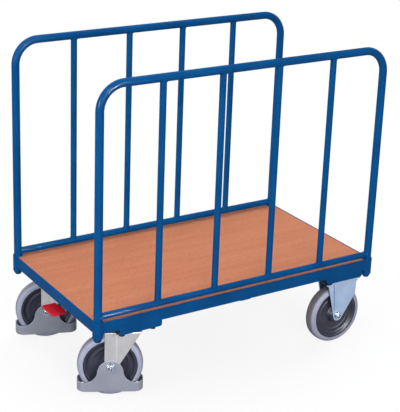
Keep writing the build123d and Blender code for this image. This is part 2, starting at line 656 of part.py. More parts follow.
def pedal_arm():
    """Flat bar clamped on the shaft: level over the channel wall, then down below the end rail."""
    low = SHAFT_Z - ARM_DROP
    line = Polyline((SHAFT_X, SHAFT_Z), (ARM_TOE + ARM_SLOPE, SHAFT_Z), (ARM_TOE, low),
                    (PEDAL_TIP + PEDAL_CORNER, low))
    bar = across(trace(line, ARM_T), ARM_W)
    return bar + shaft_hub(ARM_W) - shaft_bore(SHAFT_D + 2 * WELD_GAP, ARM_W)


def pedal_pad():
    """Foot pad on the end of the arm, with grooves across the tread."""
    foot = SHAFT_Z - ARM_DROP + ARM_T / 2
    pad = extrude(RectangleRounded(PEDAL_L, PEDAL_W, PEDAL_CORNER), PEDAL_T)
    pitch = PEDAL_L / (PEDAL_GROOVES + 1)
    groove = Box(GROOVE_W, PEDAL_W, GROOVE_H)
    grooves = [Pos(pitch * (n + 1) - PEDAL_L / 2, 0, PEDAL_T - GROOVE_H / 2) * groove
               for n in range(PEDAL_GROOVES)]
    return Pos(PEDAL_TIP + PEDAL_L / 2, 0, foot) * (pad - grooves)


# Assembly

def caster_frame(side):
    """Place of a swivel caster: moved to its swivel axis and turned to its heading."""
    return Pos(SWIVEL_X, SIDES[side] * SWIVEL_Y, 0) * Rot(0, 0, HEADINGS[side])


def wheel_nodes(name, place):
    """Rim, tyre and bearings of one wheel."""
    return {
        f"{name}_rim": place * wheel_rim(),
        f"{name}_tyre": place * tyre(),
        f"{name}_bearings": [place * ring for ring in wheel_bearings()],
    }


def side_nodes(side):
    """Plug-in side: hoop, lower bar and uprights."""
    y = SIDES[side] * LEG_PITCH_Y / 2
    return {f"{side}_hoop": hoop(y), f"{side}_lower_bar": lower_bar(y), f"{side}_uprights": uprights(y)}


def swivel_caster_nodes(side):
    """One swivel caster: plate and pin stay with the frame, the rest turns with the fork."""
    upright = Pos(SWIVEL_X, SIDES[side] * SWIVEL_Y, 0)
    turned_frame = caster_frame(side)
    axle = turned_frame * Pos(-TRAIL, 0, WHEEL_R)
    nodes = {
        f"{side}_swivel_plate": upright * swivel_plate(),
        f"{side}_king_pin": upright * king_pin(),
        f"{side}_fork": turned_frame * fork(),
        f"{side}_swivel_balls": [turned_frame * ball for ball in swivel_balls()],
        f"{side}_foot_guard": turned_frame * foot_guard(),
        f"{side}_swivel_axle": axle * axle_bolt(GUARD_OUT),
        f"{side}_swivel_axle_nut": axle * axle_nut(GUARD_OUT),
        f"{side}_swivel_sleeve": axle * axle_sleeve(),
        f"{side}_brake_plunger": brake_plunger(SIDES[side]),
    }
    return nodes | wheel_nodes(f"{side}_swivel", axle)


def fixed_caster_nodes():
    """Both fixed casters; their like fasteners share a node."""
    axles = {side: Pos(FIXED_X, SIDES[side] * FIXED_Y, WHEEL_R) for side in SIDES}
    nodes = {
        "fixed_axles": [axle * axle_bolt(FORK_W / 2) for axle in axles.values()],
        "fixed_axle_nuts": [axle * axle_nut(FORK_W / 2) for axle in axles.values()],
        "fixed_axle_sleeves": [axle * axle_sleeve() for axle in axles.values()],
    }
    for side, axle in axles.items():
        nodes[f"{side}_fixed_bracket"] = Pos(FIXED_X, SIDES[side] * FIXED_Y, 0) * fixed_bracket()
        nodes |= wheel_nodes(f"{side}_fixed", axle)
    return nodes


def frame_nodes():
    """Deck frame with its channels, sockets and fasteners."""
    return rails() | {
        "deck_panel": deck_panel(),
        "deck_screws": deck_screws(),
        "corner_sockets": corner_sockets(),
        "swivel_channel": swivel_channel(),
        "fixed_channel": caster_channel(FIXED_X, FIXED_Y),
        "mid_beam": mid_beam(),
        "caster_bolts": caster_bolts(),
        "caster_nuts": caster_nuts(),
    }


def brake_nodes():
    """Pedal, shaft and stands of the central brake."""
    return {
        "brake_shaft": brake_shaft(),
        "brake_fingers": brake_fingers(),
        "shaft_brackets": shaft_brackets(),
        "pedal_arm": pedal_arm(),
        "pedal_pad": pedal_pad(),
    }


def assembly():
    """Every node of the trolley by name."""
    nodes = frame_nodes() | brake_nodes() | fixed_caster_nodes()
    for side in SIDES:
        nodes |= side_nodes(side) | swivel_caster_nodes(side)
    return nodes


os.makedirs("parts", exist_ok=True)
for name, shape in assembly().items():
    solids = shape if isinstance(shape, list) else [shape]
    export_step(Compound(children=[Part() + solid for solid in solids]), f"parts/{name}.step")
    print(name, len(solids))
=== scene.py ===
# %% [markdown]
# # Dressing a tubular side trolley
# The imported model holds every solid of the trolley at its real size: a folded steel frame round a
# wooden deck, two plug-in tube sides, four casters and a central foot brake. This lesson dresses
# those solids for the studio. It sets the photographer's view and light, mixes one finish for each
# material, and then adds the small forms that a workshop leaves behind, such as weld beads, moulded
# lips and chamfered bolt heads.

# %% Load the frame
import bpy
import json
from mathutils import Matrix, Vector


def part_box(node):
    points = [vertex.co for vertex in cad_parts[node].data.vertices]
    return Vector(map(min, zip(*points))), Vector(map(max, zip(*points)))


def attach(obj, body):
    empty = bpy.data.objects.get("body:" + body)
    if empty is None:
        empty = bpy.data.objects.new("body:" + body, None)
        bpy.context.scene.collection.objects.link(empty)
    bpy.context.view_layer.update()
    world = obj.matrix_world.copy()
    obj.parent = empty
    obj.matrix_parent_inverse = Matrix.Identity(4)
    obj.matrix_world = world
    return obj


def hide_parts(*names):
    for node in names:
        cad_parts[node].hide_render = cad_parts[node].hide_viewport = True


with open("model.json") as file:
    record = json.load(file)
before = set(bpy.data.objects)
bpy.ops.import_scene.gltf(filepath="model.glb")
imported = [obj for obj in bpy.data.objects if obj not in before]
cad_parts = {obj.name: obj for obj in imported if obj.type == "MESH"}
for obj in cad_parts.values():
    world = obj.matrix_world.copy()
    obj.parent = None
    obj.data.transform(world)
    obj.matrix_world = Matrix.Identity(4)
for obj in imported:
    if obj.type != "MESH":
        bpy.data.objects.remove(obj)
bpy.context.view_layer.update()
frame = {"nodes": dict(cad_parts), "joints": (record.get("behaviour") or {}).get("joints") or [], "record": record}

# %% [markdown]
# Blender counts in metres, and a workshop in millimetres, so `MM` turns one into the other. X runs
# along the trolley towards the fixed casters, Y across it to the back side, and Z up from the floor.

# %% Names and measures
import json
from math import cos, pi, radians, sin, tan

import bmesh
import bpy
import numpy as np
from mathutils import Matrix, Vector

MM = 0.001
SIDES = ("front", "back")
WHEELS = ("front_swivel", "back_swivel", "front_fixed", "back_fixed")
studio = bpy.context.scene
nodes = frame["nodes"]
joints = {joint["name"]: joint for joint in frame["joints"]}
slot_of = {part["node"]: part["material_slot"] for part in frame["record"]["subparts"]}

# %% [markdown]
# ## The view
# The photographer stood off the front left corner with a long lens, about a metre above the hoops. The
# lens axis meets the picture above its middle, so the picture was cut from a larger one. Blender
# says that with a lens shift, which keeps the uprights' slight lean as it is in the picture. The
# camera's axes are worked out as three unit vectors and written into its matrix.

# %% Camera
PICTURE_W = 400
PICTURE_H = 412
FOCAL_PX = 1260.1
AXIS_PX = (201.5, 169.2)
SENSOR_MM = 36.0
VIEW_TURN = radians(-33.02)
VIEW_LIFT = radians(19.32)
VIEW_ROLL = radians(2.17)
VIEW_FAR = 4.021
LOOK_AT = np.array([0.0157, 0.0, 0.5916])

view_back = np.array([sin(VIEW_TURN) * cos(VIEW_LIFT), -cos(VIEW_TURN) * cos(VIEW_LIFT), sin(VIEW_LIFT)])
level = np.cross((0, 0, 1), view_back)
level /= np.linalg.norm(level)
above = np.cross(view_back, level)
view_right = level * cos(VIEW_ROLL) + above * sin(VIEW_ROLL)
view_up = above * cos(VIEW_ROLL) - level * sin(VIEW_ROLL)
view_place = LOOK_AT + view_back * VIEW_FAR

lens = bpy.data.cameras.new("studio_camera")
lens.sensor_width = SENSOR_MM
lens.lens = FOCAL_PX * SENSOR_MM / PICTURE_H
lens.shift_x = (PICTURE_W / 2 - AXIS_PX[0]) / PICTURE_H
lens.shift_y = (AXIS_PX[1] - PICTURE_H / 2) / PICTURE_H
camera = bpy.data.objects.new("studio_camera", lens)
view_axes = np.column_stack([view_right, view_up, view_back, view_place])
camera.matrix_world = Matrix([*view_axes.tolist(), (0, 0, 0, 1)])
studio.collection.objects.link(camera)
studio.camera = camera
print("camera", view_place.round(3), "lens", round(lens.lens, 1), "mm")

# %% [markdown]
# ## The studio
# The trolley stands on a seamless white floor under soft light. A floor that is lit until it turns
# white would burn out the object too. Instead the floor and the sky answer two kinds of question:
# a ray from the camera, or from a shiny surface, sees them near white, and a ray that gathers light
# for a matt surface sees a greyer floor and a dimmer sky, so the undersides stay dark. Round the
# trolley the floor keeps part of its true shade, which holds the soft shadow, and further out it
# fades to plain white. A material is a graph of nodes. Three functions draw the parts of that graph
# which the floor, the sky and every finish need again.

# %% Node helpers
def combined(tree, operation, first, second):
    """Two values worked into one, such as their product or the greater of the two."""
    both = tree.nodes.new("ShaderNodeMath")
    both.operation = operation
    tree.links.new(first, both.inputs[0])
    tree.links.new(second, both.inputs[1])
    return both.outputs[0]


def remap(tree, value, start, end, low=0.0, high=1.0, easing="LINEAR"):
    """A value that goes from low to high while the given one goes from start to end."""
    span = tree.nodes.new("ShaderNodeMapRange")
    span.interpolation_type = easing
    for name, number in (("From Min", start), ("From Max", end), ("To Min", low), ("To Max", high)):
        span.inputs[name].default_value = number
    tree.links.new(value, span.inputs["Value"])
    return span.outputs["Result"]


def mixed(tree, share, first, second, way="MIX"):
    """A colour between two by a share, or the product of both. A constant is set on the node itself, and
    what varies is linked to it."""
    mix = tree.nodes.new("ShaderNodeMix")
    mix.data_type = "RGBA"
    mix.blend_type = way
    for name, value in (("Factor", share), ("A", first), ("B", second)):
        if isinstance(value, bpy.types.NodeSocket):
            tree.links.new(value, mix.inputs[name])
        else:
            mix.inputs[name].default_value = value
    return mix.outputs["Result"]


print("helpers", [helper.__name__ for helper in (combined, remap, mixed)])

# %% [markdown]
# The floor mixes a matt white with a glow. Near the trolley a part of the matt shows, and the glow takes
# over with the distance from the middle. Light Path says which kind of ray asks.

# %% White floor
FLOOR_HALF = 40.0
FLOOR_SHADE = (0.95, 0.95, 0.95, 1.0)
FLOOR_BOUNCE = (0.15, 0.15, 0.15, 1.0)
FLOOR_GLOW = 0.86
GLOW_FROM = 0.7
GLOW_TO = 2.4


def seen_directly(tree):
    """One for camera, mirror and glass rays, nought for the rays that light matt surfaces."""
    rays = tree.nodes.new("ShaderNodeLightPath").outputs
    shiny = combined(tree, "MAXIMUM", rays["Is Glossy Ray"], rays["Is Transmission Ray"])
    return combined(tree, "MAXIMUM", rays["Is Camera Ray"], shiny)


def show_mix(tree, output, share, plain, bright):
    """Show a plain and a bright shader, mixed by a share."""
    blend = tree.nodes.new("ShaderNodeMixShader")
    surface = tree.nodes.new(output)
    for socket, source in zip(blend.inputs, (share, plain.outputs[0], bright.outputs[0])):
        tree.links.new(source, socket)
    tree.links.new(blend.outputs[0], surface.inputs["Surface"])


floor_white = bpy.data.materials.new("studio_floor")
floor_white.use_nodes = True
tree = floor_white.node_tree
tree.nodes.clear()
seen = seen_directly(tree)
matt = tree.nodes.new("ShaderNodeBsdfDiffuse")
tree.links.new(mixed(tree, seen, FLOOR_BOUNCE, FLOOR_SHADE), matt.inputs["Color"])
glow = tree.nodes.new("ShaderNodeEmission")
place = tree.nodes.new("ShaderNodeTexCoord")
distance = tree.nodes.new("ShaderNodeVectorMath")
distance.operation = "LENGTH"
tree.links.new(place.outputs["Object"], distance.inputs[0])
fade = remap(tree, distance.outputs["Value"], GLOW_FROM, GLOW_TO, low=FLOOR_GLOW, easing="SMOOTHSTEP")
show_mix(tree, "ShaderNodeOutputMaterial", combined(tree, "MULTIPLY", fade, seen), matt, glow)

corners = FLOOR_HALF * np.array([(-1, -1, 0), (1, -1, 0), (1, 1, 0), (-1, 1, 0)])
floor_mesh = bpy.data.meshes.new("studio_floor")
floor_mesh.from_pydata(corners.tolist(), [], [(0, 1, 2, 3)])
floor_mesh.materials.append(floor_white)
floor = bpy.data.objects.new("studio_floor", floor_mesh)
studio.collection.objects.link(floor)
print("floor", 2 * FLOOR_HALF, "m wide")

# %% [markdown]
# The sky is the world's background, made in the same way: white where it is seen, and dim where it lights.

# %% White sky
SKY_LEVEL = 0.36
WHITE = (1.0, 1.0, 1.0, 1.0)

sky = bpy.data.worlds.new("studio_sky")
studio.world = sky
sky.use_nodes = True
tree = sky.node_tree
tree.nodes.clear()
dim = tree.nodes.new("ShaderNodeBackground")
dim.inputs["Color"].default_value = WHITE
dim.inputs["Strength"].default_value = SKY_LEVEL
white = tree.nodes.new("ShaderNodeBackground")
white.inputs["Color"].default_value = WHITE
show_mix(tree, "ShaderNodeOutputWorld", seen_directly(tree), dim, white)
print("sky at", SKY_LEVEL)

# %% [markdown]
# Four softboxes do the rest. One above and behind the trolley lights the deck and the tops of the tubes,
# one on the left lights the swivel end, one on the right the fixed end, and the strongest stands beside the
# camera, so that the tubes fall off to dark at both edges and light reaches the deck under the lower bar.
# Three narrow strips leave white streaks. A straight tube mirrors none of them to the camera, and only the
# left bends, the welds and the rings of the wheel centres do. They are hidden from matt surfaces, which
# would show their hard shadows. The view transform is Standard, so a colour comes out about as it is
# written.

# %% Lamps
DECK_MIDDLE = (0.0, 0.0, 0.4)
HOOP_BENDS = (-0.4, 0.0, 0.9)


def softbox(name, place, aim, size, watts, streak=False):
    """Oblong lamp at a place, turned so that its face looks at a point. A streak shows in shiny surfaces
    alone."""
    lamp = bpy.data.lights.new(name, "AREA")
    lamp.shape = "RECTANGLE"
    lamp.size, lamp.size_y = size
    lamp.energy = watts
    holder = bpy.data.objects.new(name, lamp)
    holder.location = place
    holder.rotation_euler = (Vector(aim) - Vector(place)).to_track_quat("-Z", "Y").to_euler()
    holder.visible_diffuse = not streak
    studio.collection.objects.link(holder)


softbox("roof_softbox", (0.2, 1.2, 3.0), DECK_MIDDLE, size=(2.6, 2.6), watts=42.0)
softbox("left_softbox", (-3.4, -0.8, 1.6), DECK_MIDDLE, size=(2.0, 2.0), watts=60.0)
softbox("front_softbox", (-1.1, -3.6, 1.7), DECK_MIDDLE, size=(1.6, 2.4), watts=83.0)
softbox("right_softbox", (3.3, 0.9, 1.8), DECK_MIDDLE, size=(2.0, 2.0), watts=46.0)
softbox("high_strip", (-1.6, -2.8, 3.2), HOOP_BENDS, size=(1.2, 0.22), watts=440.0, streak=True)
softbox("low_strip", (-3.2, -1.4, 1.3), HOOP_BENDS, size=(0.15, 1.0), watts=240.0, streak=True)
softbox("front_strip", (0.55, -3.3, 1.05), HOOP_BENDS, size=(1.2, 0.26), watts=520.0, streak=True)
studio.view_settings.view_transform = "Standard"
print("lamps", [lamp.name for lamp in bpy.data.lights])

# %% [markdown]
# ## Tools for finishes
# A finish is a node tree with one shader. What is the same all over the surface is set on the
# shader's own sockets. What varies comes from noise, read from the object's own space so that it
# stays on the piece when the piece moves. A few short helpers are enough for every finish: they turn a
# screen colour into light, start the tree, make noise, and turn it into colours, numbers or relief.

# %% Finish helpers
def screen_colour(red, green, blue):
    """Linear colour of an 8-bit screen colour: (c + 0.055) / 1.055 to the power 2.4, where c is the share
    of 255, and c / 12.92 for the darkest."""
    share = np.array([red, green, blue]) / 255
    linear = np.where(share <= 0.04045, share / 12.92, ((share + 0.055) / 1.055) ** 2.4)
    return (*linear.tolist(), 1.0)


def start_finish(name, roughness, metallic=0.0, specular=0.5):
    """A new material whose even properties sit on the shader, with its tree and that shader's sockets."""
    material = bpy.data.materials.new(name)
    material.use_nodes = True
    look = material.node_tree.nodes["Principled BSDF"].inputs
    look["Roughness"].default_value = roughness
    look["Metallic"].default_value = metallic
    look["Specular IOR Level"].default_value = specular
    print("finish", name)
    return material, material.node_tree, look


def grain(tree, size, detail=2.0, draw=(1.0, 1.0, 1.0)):
    """Noise with features of a given size, drawn out along each axis by the given factor."""
    coordinates = tree.nodes.new("ShaderNodeTexCoord")
    mapping = tree.nodes.new("ShaderNodeMapping")
    mapping.inputs["Scale"].default_value = [1 / (size * factor) for factor in draw]
    noise = tree.nodes.new("ShaderNodeTexNoise")
    noise.inputs["Scale"].default_value = 1.0
    noise.inputs["Detail"].default_value = detail
    tree.links.new(coordinates.outputs["Object"], mapping.inputs["Vector"])
    tree.links.new(mapping.outputs["Vector"], noise.inputs["Vector"])
    return noise.outputs["Fac"]


def tint(tree, factor, *stops):
    """Colour ramp through stops, each a position and an 8-bit screen colour."""
    ramp = tree.nodes.new("ShaderNodeValToRGB")
    bands = ramp.color_ramp.elements
    while len(bands) < len(stops):
        bands.new(1.0)
    for band, (position, colour) in zip(bands, stops):
        band.position = position
        band.color = screen_colour(*colour)
    tree.links.new(factor, ramp.inputs["Fac"])
    return ramp.outputs["Color"]


def spread(tree, noise, low, high):
    """The middle half of a noise, spread from a low value to a high one."""
    return remap(tree, noise, 0.25, 0.75, low, high)


def relief(tree, look, height, depth, edge):
    """Fine relief of a given depth on edges that catch the light as if rounded to a given radius."""
    rounded = tree.nodes.new("ShaderNodeBevel")
    rounded.samples = 6
    rounded.inputs["Radius"].default_value = edge
    bump = tree.nodes.new("ShaderNodeBump")
    bump.inputs["Distance"].default_value = depth
    tree.links.new(height, bump.inputs["Height"])
    tree.links.new(rounded.outputs["Normal"], bump.inputs["Normal"])
    tree.links.new(bump.outputs["Normal"], look["Normal"])


print("half grey on the screen is", round(screen_colour(128, 128, 128)[0], 3), "of white in light")

# %% [markdown]
# ## Blue powder coat
# Frame and sides are sprayed with dry powder and baked, which leaves an even skin with a very fine
# orange peel. Its gloss is the shader's coat layer at about a tenth of its strength, because a full one
# would look like car paint and turn the tubes' edges white. The colour drifts by a few percent over a
# hand's width, as thicker and thinner powder does.

# %% Blue powder coat
BLUE_DARK = (3, 75, 134)
BLUE_LIGHT = (5, 84, 146)
COAT_SHARE = 0.09
COAT_ROUGHNESS = 0.08
POWDER_DRIFT = 140.0 * MM
PEEL_SIZE = 1.6 * MM
PEEL_DEPTH = 0.02 * MM


def powder_coat():
    """Deep blue that drifts slowly, under a fine orange peel."""
    material, tree, look = start_finish("blue_powder_coat", roughness=0.4, specular=0.0)
    look["Coat Weight"].default_value = COAT_SHARE
    look["Coat Roughness"].default_value = COAT_ROUGHNESS
    drift = grain(tree, POWDER_DRIFT, detail=3.0)
    tree.links.new(tint(tree, drift, (0.35, BLUE_DARK), (0.65, BLUE_LIGHT)), look["Base Color"])
    tree.links.new(spread(tree, grain(tree, 30 * MM), low=0.36, high=0.44), look["Roughness"])
    relief(tree, look, grain(tree, PEEL_SIZE), depth=PEEL_DEPTH, edge=0.8 * MM)
    return material


blue_coat = powder_coat()

# %% [markdown]
# ## Beech deck
# The deck is a board with a sealed beech face. Beech has no bold figure: it shows slow bands along
# the board and many short dark flecks a few millimetres long. Both are the same noise, drawn out
# along X, the bands from a coarse one and the flecks from the darkest parts of a fine one.

# %% Beech deck
BEECH_TONES = ((195, 123, 90), (200, 128, 95), (204, 134, 101))
FLECK_TONE = (222, 208, 200)
CLEAR = (255, 255, 255)


def beech():
    """Warm bands along the board, crossed by short flecks, under a matt seal."""
    material, tree, look = start_finish("beech_board", roughness=0.5, specular=0.04)
    bands = grain(tree, 30 * MM, detail=4.0, draw=(14.0, 1.0, 1.0))
    flecks = grain(tree, 1.1 * MM, detail=1.0, draw=(7.0, 1.0, 1.0))
    board = tint(tree, bands, *zip((0.30, 0.50, 0.70), BEECH_TONES))
    fleck = tint(tree, flecks, (0.30, FLECK_TONE), (0.42, CLEAR))
    tree.links.new(mixed(tree, 1.0, board, fleck, "MULTIPLY"), look["Base Color"])
    tree.links.new(spread(tree, bands, low=0.46, high=0.56), look["Roughness"])
    relief(tree, look, flecks, depth=0.03 * MM, edge=0.6 * MM)
    return material


beech_board = beech()

# %% [markdown]
# ## Zinc and steel
# The forks and brackets are pressed from rolled sheet and zinc plated. Plating looks almost white in
# a white studio, with faint streaks along the rolling direction. The swivel forks have a neutral cast
# and the fixed brackets a blue one, which comes from the last bath of the plating, so one function
# makes both. The ridge of a pressed crease carries painted light: a darker blue painted reflection on a
# bracket, and a lighter painted highlight on a fork. The plates under the frame get a near-black plating,
# which is painted shade. Axle bolts are plain steel with a tighter sheen.

# %% Zinc and steel
STREAK = 0.8 * MM
FINE_STREAK = 0.4 * MM


def plating(name, dark, light, roughness, streak=STREAK, metallic=1.0):
    """Metal whose sheen varies in upright streaks of the given width, and whose tone drifts slowly."""
    material, tree, look = start_finish(name, roughness, metallic)
    streaks = grain(tree, streak, detail=3.0, draw=(1.0, 1.0, 12.0))
    clouds = grain(tree, 45 * MM, detail=4.0)
    tree.links.new(tint(tree, clouds, (0.3, dark), (0.7, light)), look["Base Color"])
    tree.links.new(spread(tree, streaks, roughness - 0.02, roughness + 0.03), look["Roughness"])
    relief(tree, look, streaks, depth=0.002 * MM, edge=1.2 * MM)
    return material


pale_zinc = plating("pale_zinc", (164, 164, 169), (182, 181, 184), roughness=0.28)
blue_zinc = plating("blue_zinc", (141, 160, 189), (155, 174, 200), roughness=0.25)
nut_zinc = plating("nut_zinc", (146, 164, 192), (160, 178, 204), roughness=0.25)
# The crease ridges carry painted light: a darker painted reflection on brackets, a lighter painted highlight on
# forks.
crease_painted_reflection = plating("crease_painted_reflection", (92, 120, 158), (104, 132, 170), roughness=0.26)
crease_painted_highlight = plating("crease_painted_highlight", (186, 186, 190), (196, 196, 200), roughness=0.26)
# A near-black plating that stands in as painted shade for the plates under the frame.
painted_shade_zinc = plating("painted_shade_zinc", (34, 36, 44), (48, 50, 58), roughness=0.5, metallic=0.5)
steel = plating("bright_steel", (150, 156, 168), (172, 178, 190), roughness=0.14, streak=FINE_STREAK)
bolt_steel = plating("bolt_steel", (158, 164, 176), (180, 186, 198), roughness=0.14, streak=FINE_STREAK)

# %% [markdown]
# Painted shade darkens three of these platings in places. A fixed bracket is mixed to near black at the end
# of its plate that stands out towards the middle of the trolley, past one place along the trolley and one up:
# this is painted shade for the dim underside of the frame. The nuts get painted shade at the swivel end and
# stay bright at the fixed end. Painting a mask by hand would work too, but a step in the object's own space
# says on which side of a place a point lies, and stays true when a size changes. The axle bolts get painted
# shade by a value that their points carry.

# %% Painted shade on platings
PAINTED_SHADE = (34, 36, 44)
SHADE_EDGE = 2.0 * MM
PLATE_T = 5.0 * MM
BRACKET_BACK = 50.0 * MM


def past(tree, axis, place, blur):
    """Nought before a place along an axis of the object's own space and one past it, or the other way round
    where the blur is negative."""
    coordinates = tree.nodes.new("ShaderNodeTexCoord")
    parts = tree.nodes.new("ShaderNodeSeparateXYZ")
    tree.links.new(coordinates.outputs["Object"], parts.inputs["Vector"])
    return remap(tree, parts.outputs[axis], place - blur / 2, place + blur / 2)


def dust_and_shade_of(tree):
    """The share of dust and painted shade that the points of a piece carry."""
    dust_and_shade = tree.nodes.new("ShaderNodeAttribute")
    dust_and_shade.attribute_name = "dust_and_shade"
    return dust_and_shade.outputs["Fac"]


def darken(material, share):
    """Mix painted shade over a plating by a share from nought to one."""
    tree = material.node_tree
    base = tree.nodes["Principled BSDF"].inputs["Base Color"]
    tone = base.links[0].from_socket
    tree.links.new(mixed(tree, share, tone, screen_colour(*PAINTED_SHADE)), base)


# Painted shade: near black on the inner end of each fixed bracket's plate.
fixed_x = joints["front_fixed_wheel_spin"]["pos_m"][0]
plate_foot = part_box("front_fixed_bracket")[1][2] - PLATE_T
tree = blue_zinc.node_tree
inner_end = past(tree, "X", fixed_x - BRACKET_BACK, -SHADE_EDGE)
on_plate = past(tree, "Z", plate_foot - SHADE_EDGE / 2, SHADE_EDGE / 2)
darken(blue_zinc, combined(tree, "MULTIPLY", inner_end, on_plate))
# Painted shade on the nuts at the swivel end.
darken(nut_zinc, past(nut_zinc.node_tree, "X", 0.0, -SHADE_EDGE))
darken(bolt_steel, dust_and_shade_of(bolt_steel.node_tree))
print("painted_shade_on", blue_zinc.name, nut_zinc.name, bolt_steel.name)

# %% [markdown]
# ## Rubber and plastics
# The tyres are solid grey rubber that leaves no marks. Their tread is mixed towards a dark grey-brown that is
# partly dust and partly painted shade for the dim underside of the tread, more on the fixed wheels. Each tyre
# carries a value on its points, highest in the middle of the tread and nought on its sides, and the finish
# reads it. The wheel centres, guards and pedal are mouldings: a spark-eroded mould leaves a fine grain on
# them, and a thick wall cools with a faint cloud in its sheen.

# %% Rubber and plastics
RUBBER_TONES = ((156, 161, 186), (164, 169, 194))
DUST_AND_SHADE_TONES = ((114, 108, 116), (126, 120, 128))
MOULD_GRAIN = 0.8 * MM


def tyre_rubber():
    """Matt grey with faint clouds, darker on the tread with dust and painted shade."""
    material, tree, look = start_finish("grey_rubber", roughness=0.62, specular=0.2)
    clouds = grain(tree, 18 * MM, detail=4.0)
    clean = tint(tree, clouds, *zip((0.3, 0.7), RUBBER_TONES))
    dusty_and_shaded = tint(tree, clouds, *zip((0.3, 0.7), DUST_AND_SHADE_TONES))
    tree.links.new(mixed(tree, dust_and_shade_of(tree), clean, dusty_and_shaded), look["Base Color"])
    relief(tree, look, grain(tree, 0.9 * MM), depth=0.04 * MM, edge=0.4 * MM)
    return material


def moulding(name, dark, light, roughness, mould_grain=MOULD_GRAIN):
    """Moulded plastic: a slow drift of tone, a cloudy sheen and the grain of the mould."""
    material, tree, look = start_finish(name, roughness, specular=0.2)
    drift = grain(tree, 40 * MM, detail=3.0)
    tree.links.new(tint(tree, drift, (0.3, dark), (0.7, light)), look["Base Color"])
    tree.links.new(spread(tree, drift, roughness - 0.05, roughness + 0.05), look["Roughness"])
    relief(tree, look, grain(tree, mould_grain, detail=1.0), depth=0.03 * MM, edge=0.8 * MM)
    return material


grey_rubber = tyre_rubber()
rim_plastic = moulding("rim_plastic", (39, 41, 57), (49, 51, 70), roughness=0.4, mould_grain=1.2 * MM)
guard_plastic = moulding("guard_plastic", (142, 146, 161), (150, 154, 169), roughness=0.5)
pedal_plastic = moulding("pedal_plastic", (204, 10, 38), (216, 18, 48), roughness=0.4)

# %% [markdown]
# ## Dressing the solids
# The record names a material slot for every solid, so one table from slot to finish dresses them all.
# The fixed brackets, plates, bolts, nuts and the stands of the brake shaft share the zinc slot with the
# forks, and get their own plating by name.

# %% Finishes onto solids
FINISH_OF_SLOT = {
    "blue_paint": blue_coat,
    "deck_wood": beech_board,
    "zinc_steel": pale_zinc,
    "bright_steel": steel,
    "tyre_grey": grey_rubber,
    "rim_black": rim_plastic,
    "guard_grey": guard_plastic,
    "pedal_red": pedal_plastic,
}
ZINC_OF_NODE = {
    "front_fixed_bracket": blue_zinc,
    "back_fixed_bracket": blue_zinc,
    "caster_bolts": nut_zinc,
    "caster_nuts": nut_zinc,
    # The plates under the frame and the stands of the brake shaft take the near-black plating: painted shade.
    "front_swivel_plate": painted_shade_zinc,
    "back_swivel_plate": painted_shade_zinc,
    "shaft_brackets": painted_shade_zinc,
}

for name, solid in nodes.items():
    solid.data.materials.clear()
    solid.data.materials.append(ZINC_OF_NODE.get(name, FINISH_OF_SLOT[slot_of[name]]))
print("dressed", len(nodes), "solids,", len(ZINC_OF_NODE), "of them by name")

# %% [markdown]
# ## Tools for new pieces
# A new piece is a grid of points that a formula places, and every cell of the grid is a face. A closed
# ring simply ends where it began, and a pole is a whole row on one point: merging the doubles closes
# both. Working on whole arrays keeps the formula readable and quick.

# %% Grid helpers
SMOOTH_DEGREES = 35
MERGE = 0.001 * MM
X_AXIS = np.array([1.0, 0.0, 0.0])
Z_AXIS = np.array([0.0, 0.0, 1.0])


def grid_faces(rows, columns, first):
    """Corner numbers of the cells of a grid whose first point has the given number."""
    number = first + np.arange(rows * columns).reshape(rows, columns)
    cells = [number[:-1, :-1], number[1:, :-1], number[1:, 1:], number[:-1, 1:]]
    return np.stack(cells, axis=-1).reshape(-1, 4)


def piece(name, grids, material, body, dust_and_shade=None):
    """One object from several grids, merged, smoothed, finished and set to ride on a body."""
    counts = np.cumsum([0] + [grid.shape[0] * grid.shape[1] for grid in grids])
    faces = [grid_faces(*grid.shape[:2], first) for grid, first in zip(grids, counts)]
    points = np.concatenate([grid.reshape(-1, 3) for grid in grids])
    mesh = bpy.data.meshes.new(name)
    mesh.from_pydata(points.tolist(), [], np.concatenate(faces).tolist())
    # The optional value carries dust and painted shade for the finish to read.
    if dust_and_shade is not None:
        mesh.attributes.new("dust_and_shade", "FLOAT", "POINT").data.foreach_set("value", dust_and_shade.ravel())
    shell = bmesh.new()
    shell.from_mesh(mesh)
    bmesh.ops.remove_doubles(shell, verts=shell.verts, dist=MERGE)
    bmesh.ops.recalc_face_normals(shell, faces=shell.faces)
    shell.to_mesh(mesh)
    shell.free()
    mesh.shade_smooth()
    mesh.set_sharp_from_angle(angle=radians(SMOOTH_DEGREES))
    mesh.materials.append(material)
    made = bpy.data.objects.new(name, mesh)
    studio.collection.objects.link(made)
    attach(made, body)
    print(name, len(mesh.polygons), "faces on", body)
    return made


def unit(vector):
    """The vector shortened or drawn out to length one."""
    vector = np.asarray(vector, float)
    return vector / np.linalg.norm(vector)


def heading(angle, first, second):
    """Direction at an angle between two axes: cosine times the first plus sine times the second."""
    return np.cos(angle)[..., None] * first + np.sin(angle)[..., None] * second


def plan_grid(rows, columns):
    """Two arrays from minus one to one, the first down the rows and the second along the columns."""
    return np.meshgrid(np.linspace(-1, 1, rows), np.linspace(-1, 1, columns), indexing="ij")


print("edges under", SMOOTH_DEGREES, "degrees are shaded smooth")

# %% [markdown]
# ## Weld beads on the sides
# Each upright ends in a saddle cut that fits round the tube it meets, and the welder runs one bead
# along the saddle. A torus would only fit a flat plate. The true line is where two cylinders cross:
# going round the branch tube by an angle, the point lies the branch radius from its axis, and as far
# from the main axis as the main cylinder is at that place. The bead is a ring of circles along that
# line, rippled as the puddle freezes in steps.

# %% Weld beads on the sides
BEAD_R = 2.0 * MM
BEAD_RIPPLE = 0.14
RIPPLE_PITCH = 2.6 * MM
BEAD_SECTION = np.linspace(0, 2 * pi, 11)
SADDLE_STEPS = 97
UPRIGHTS = 4


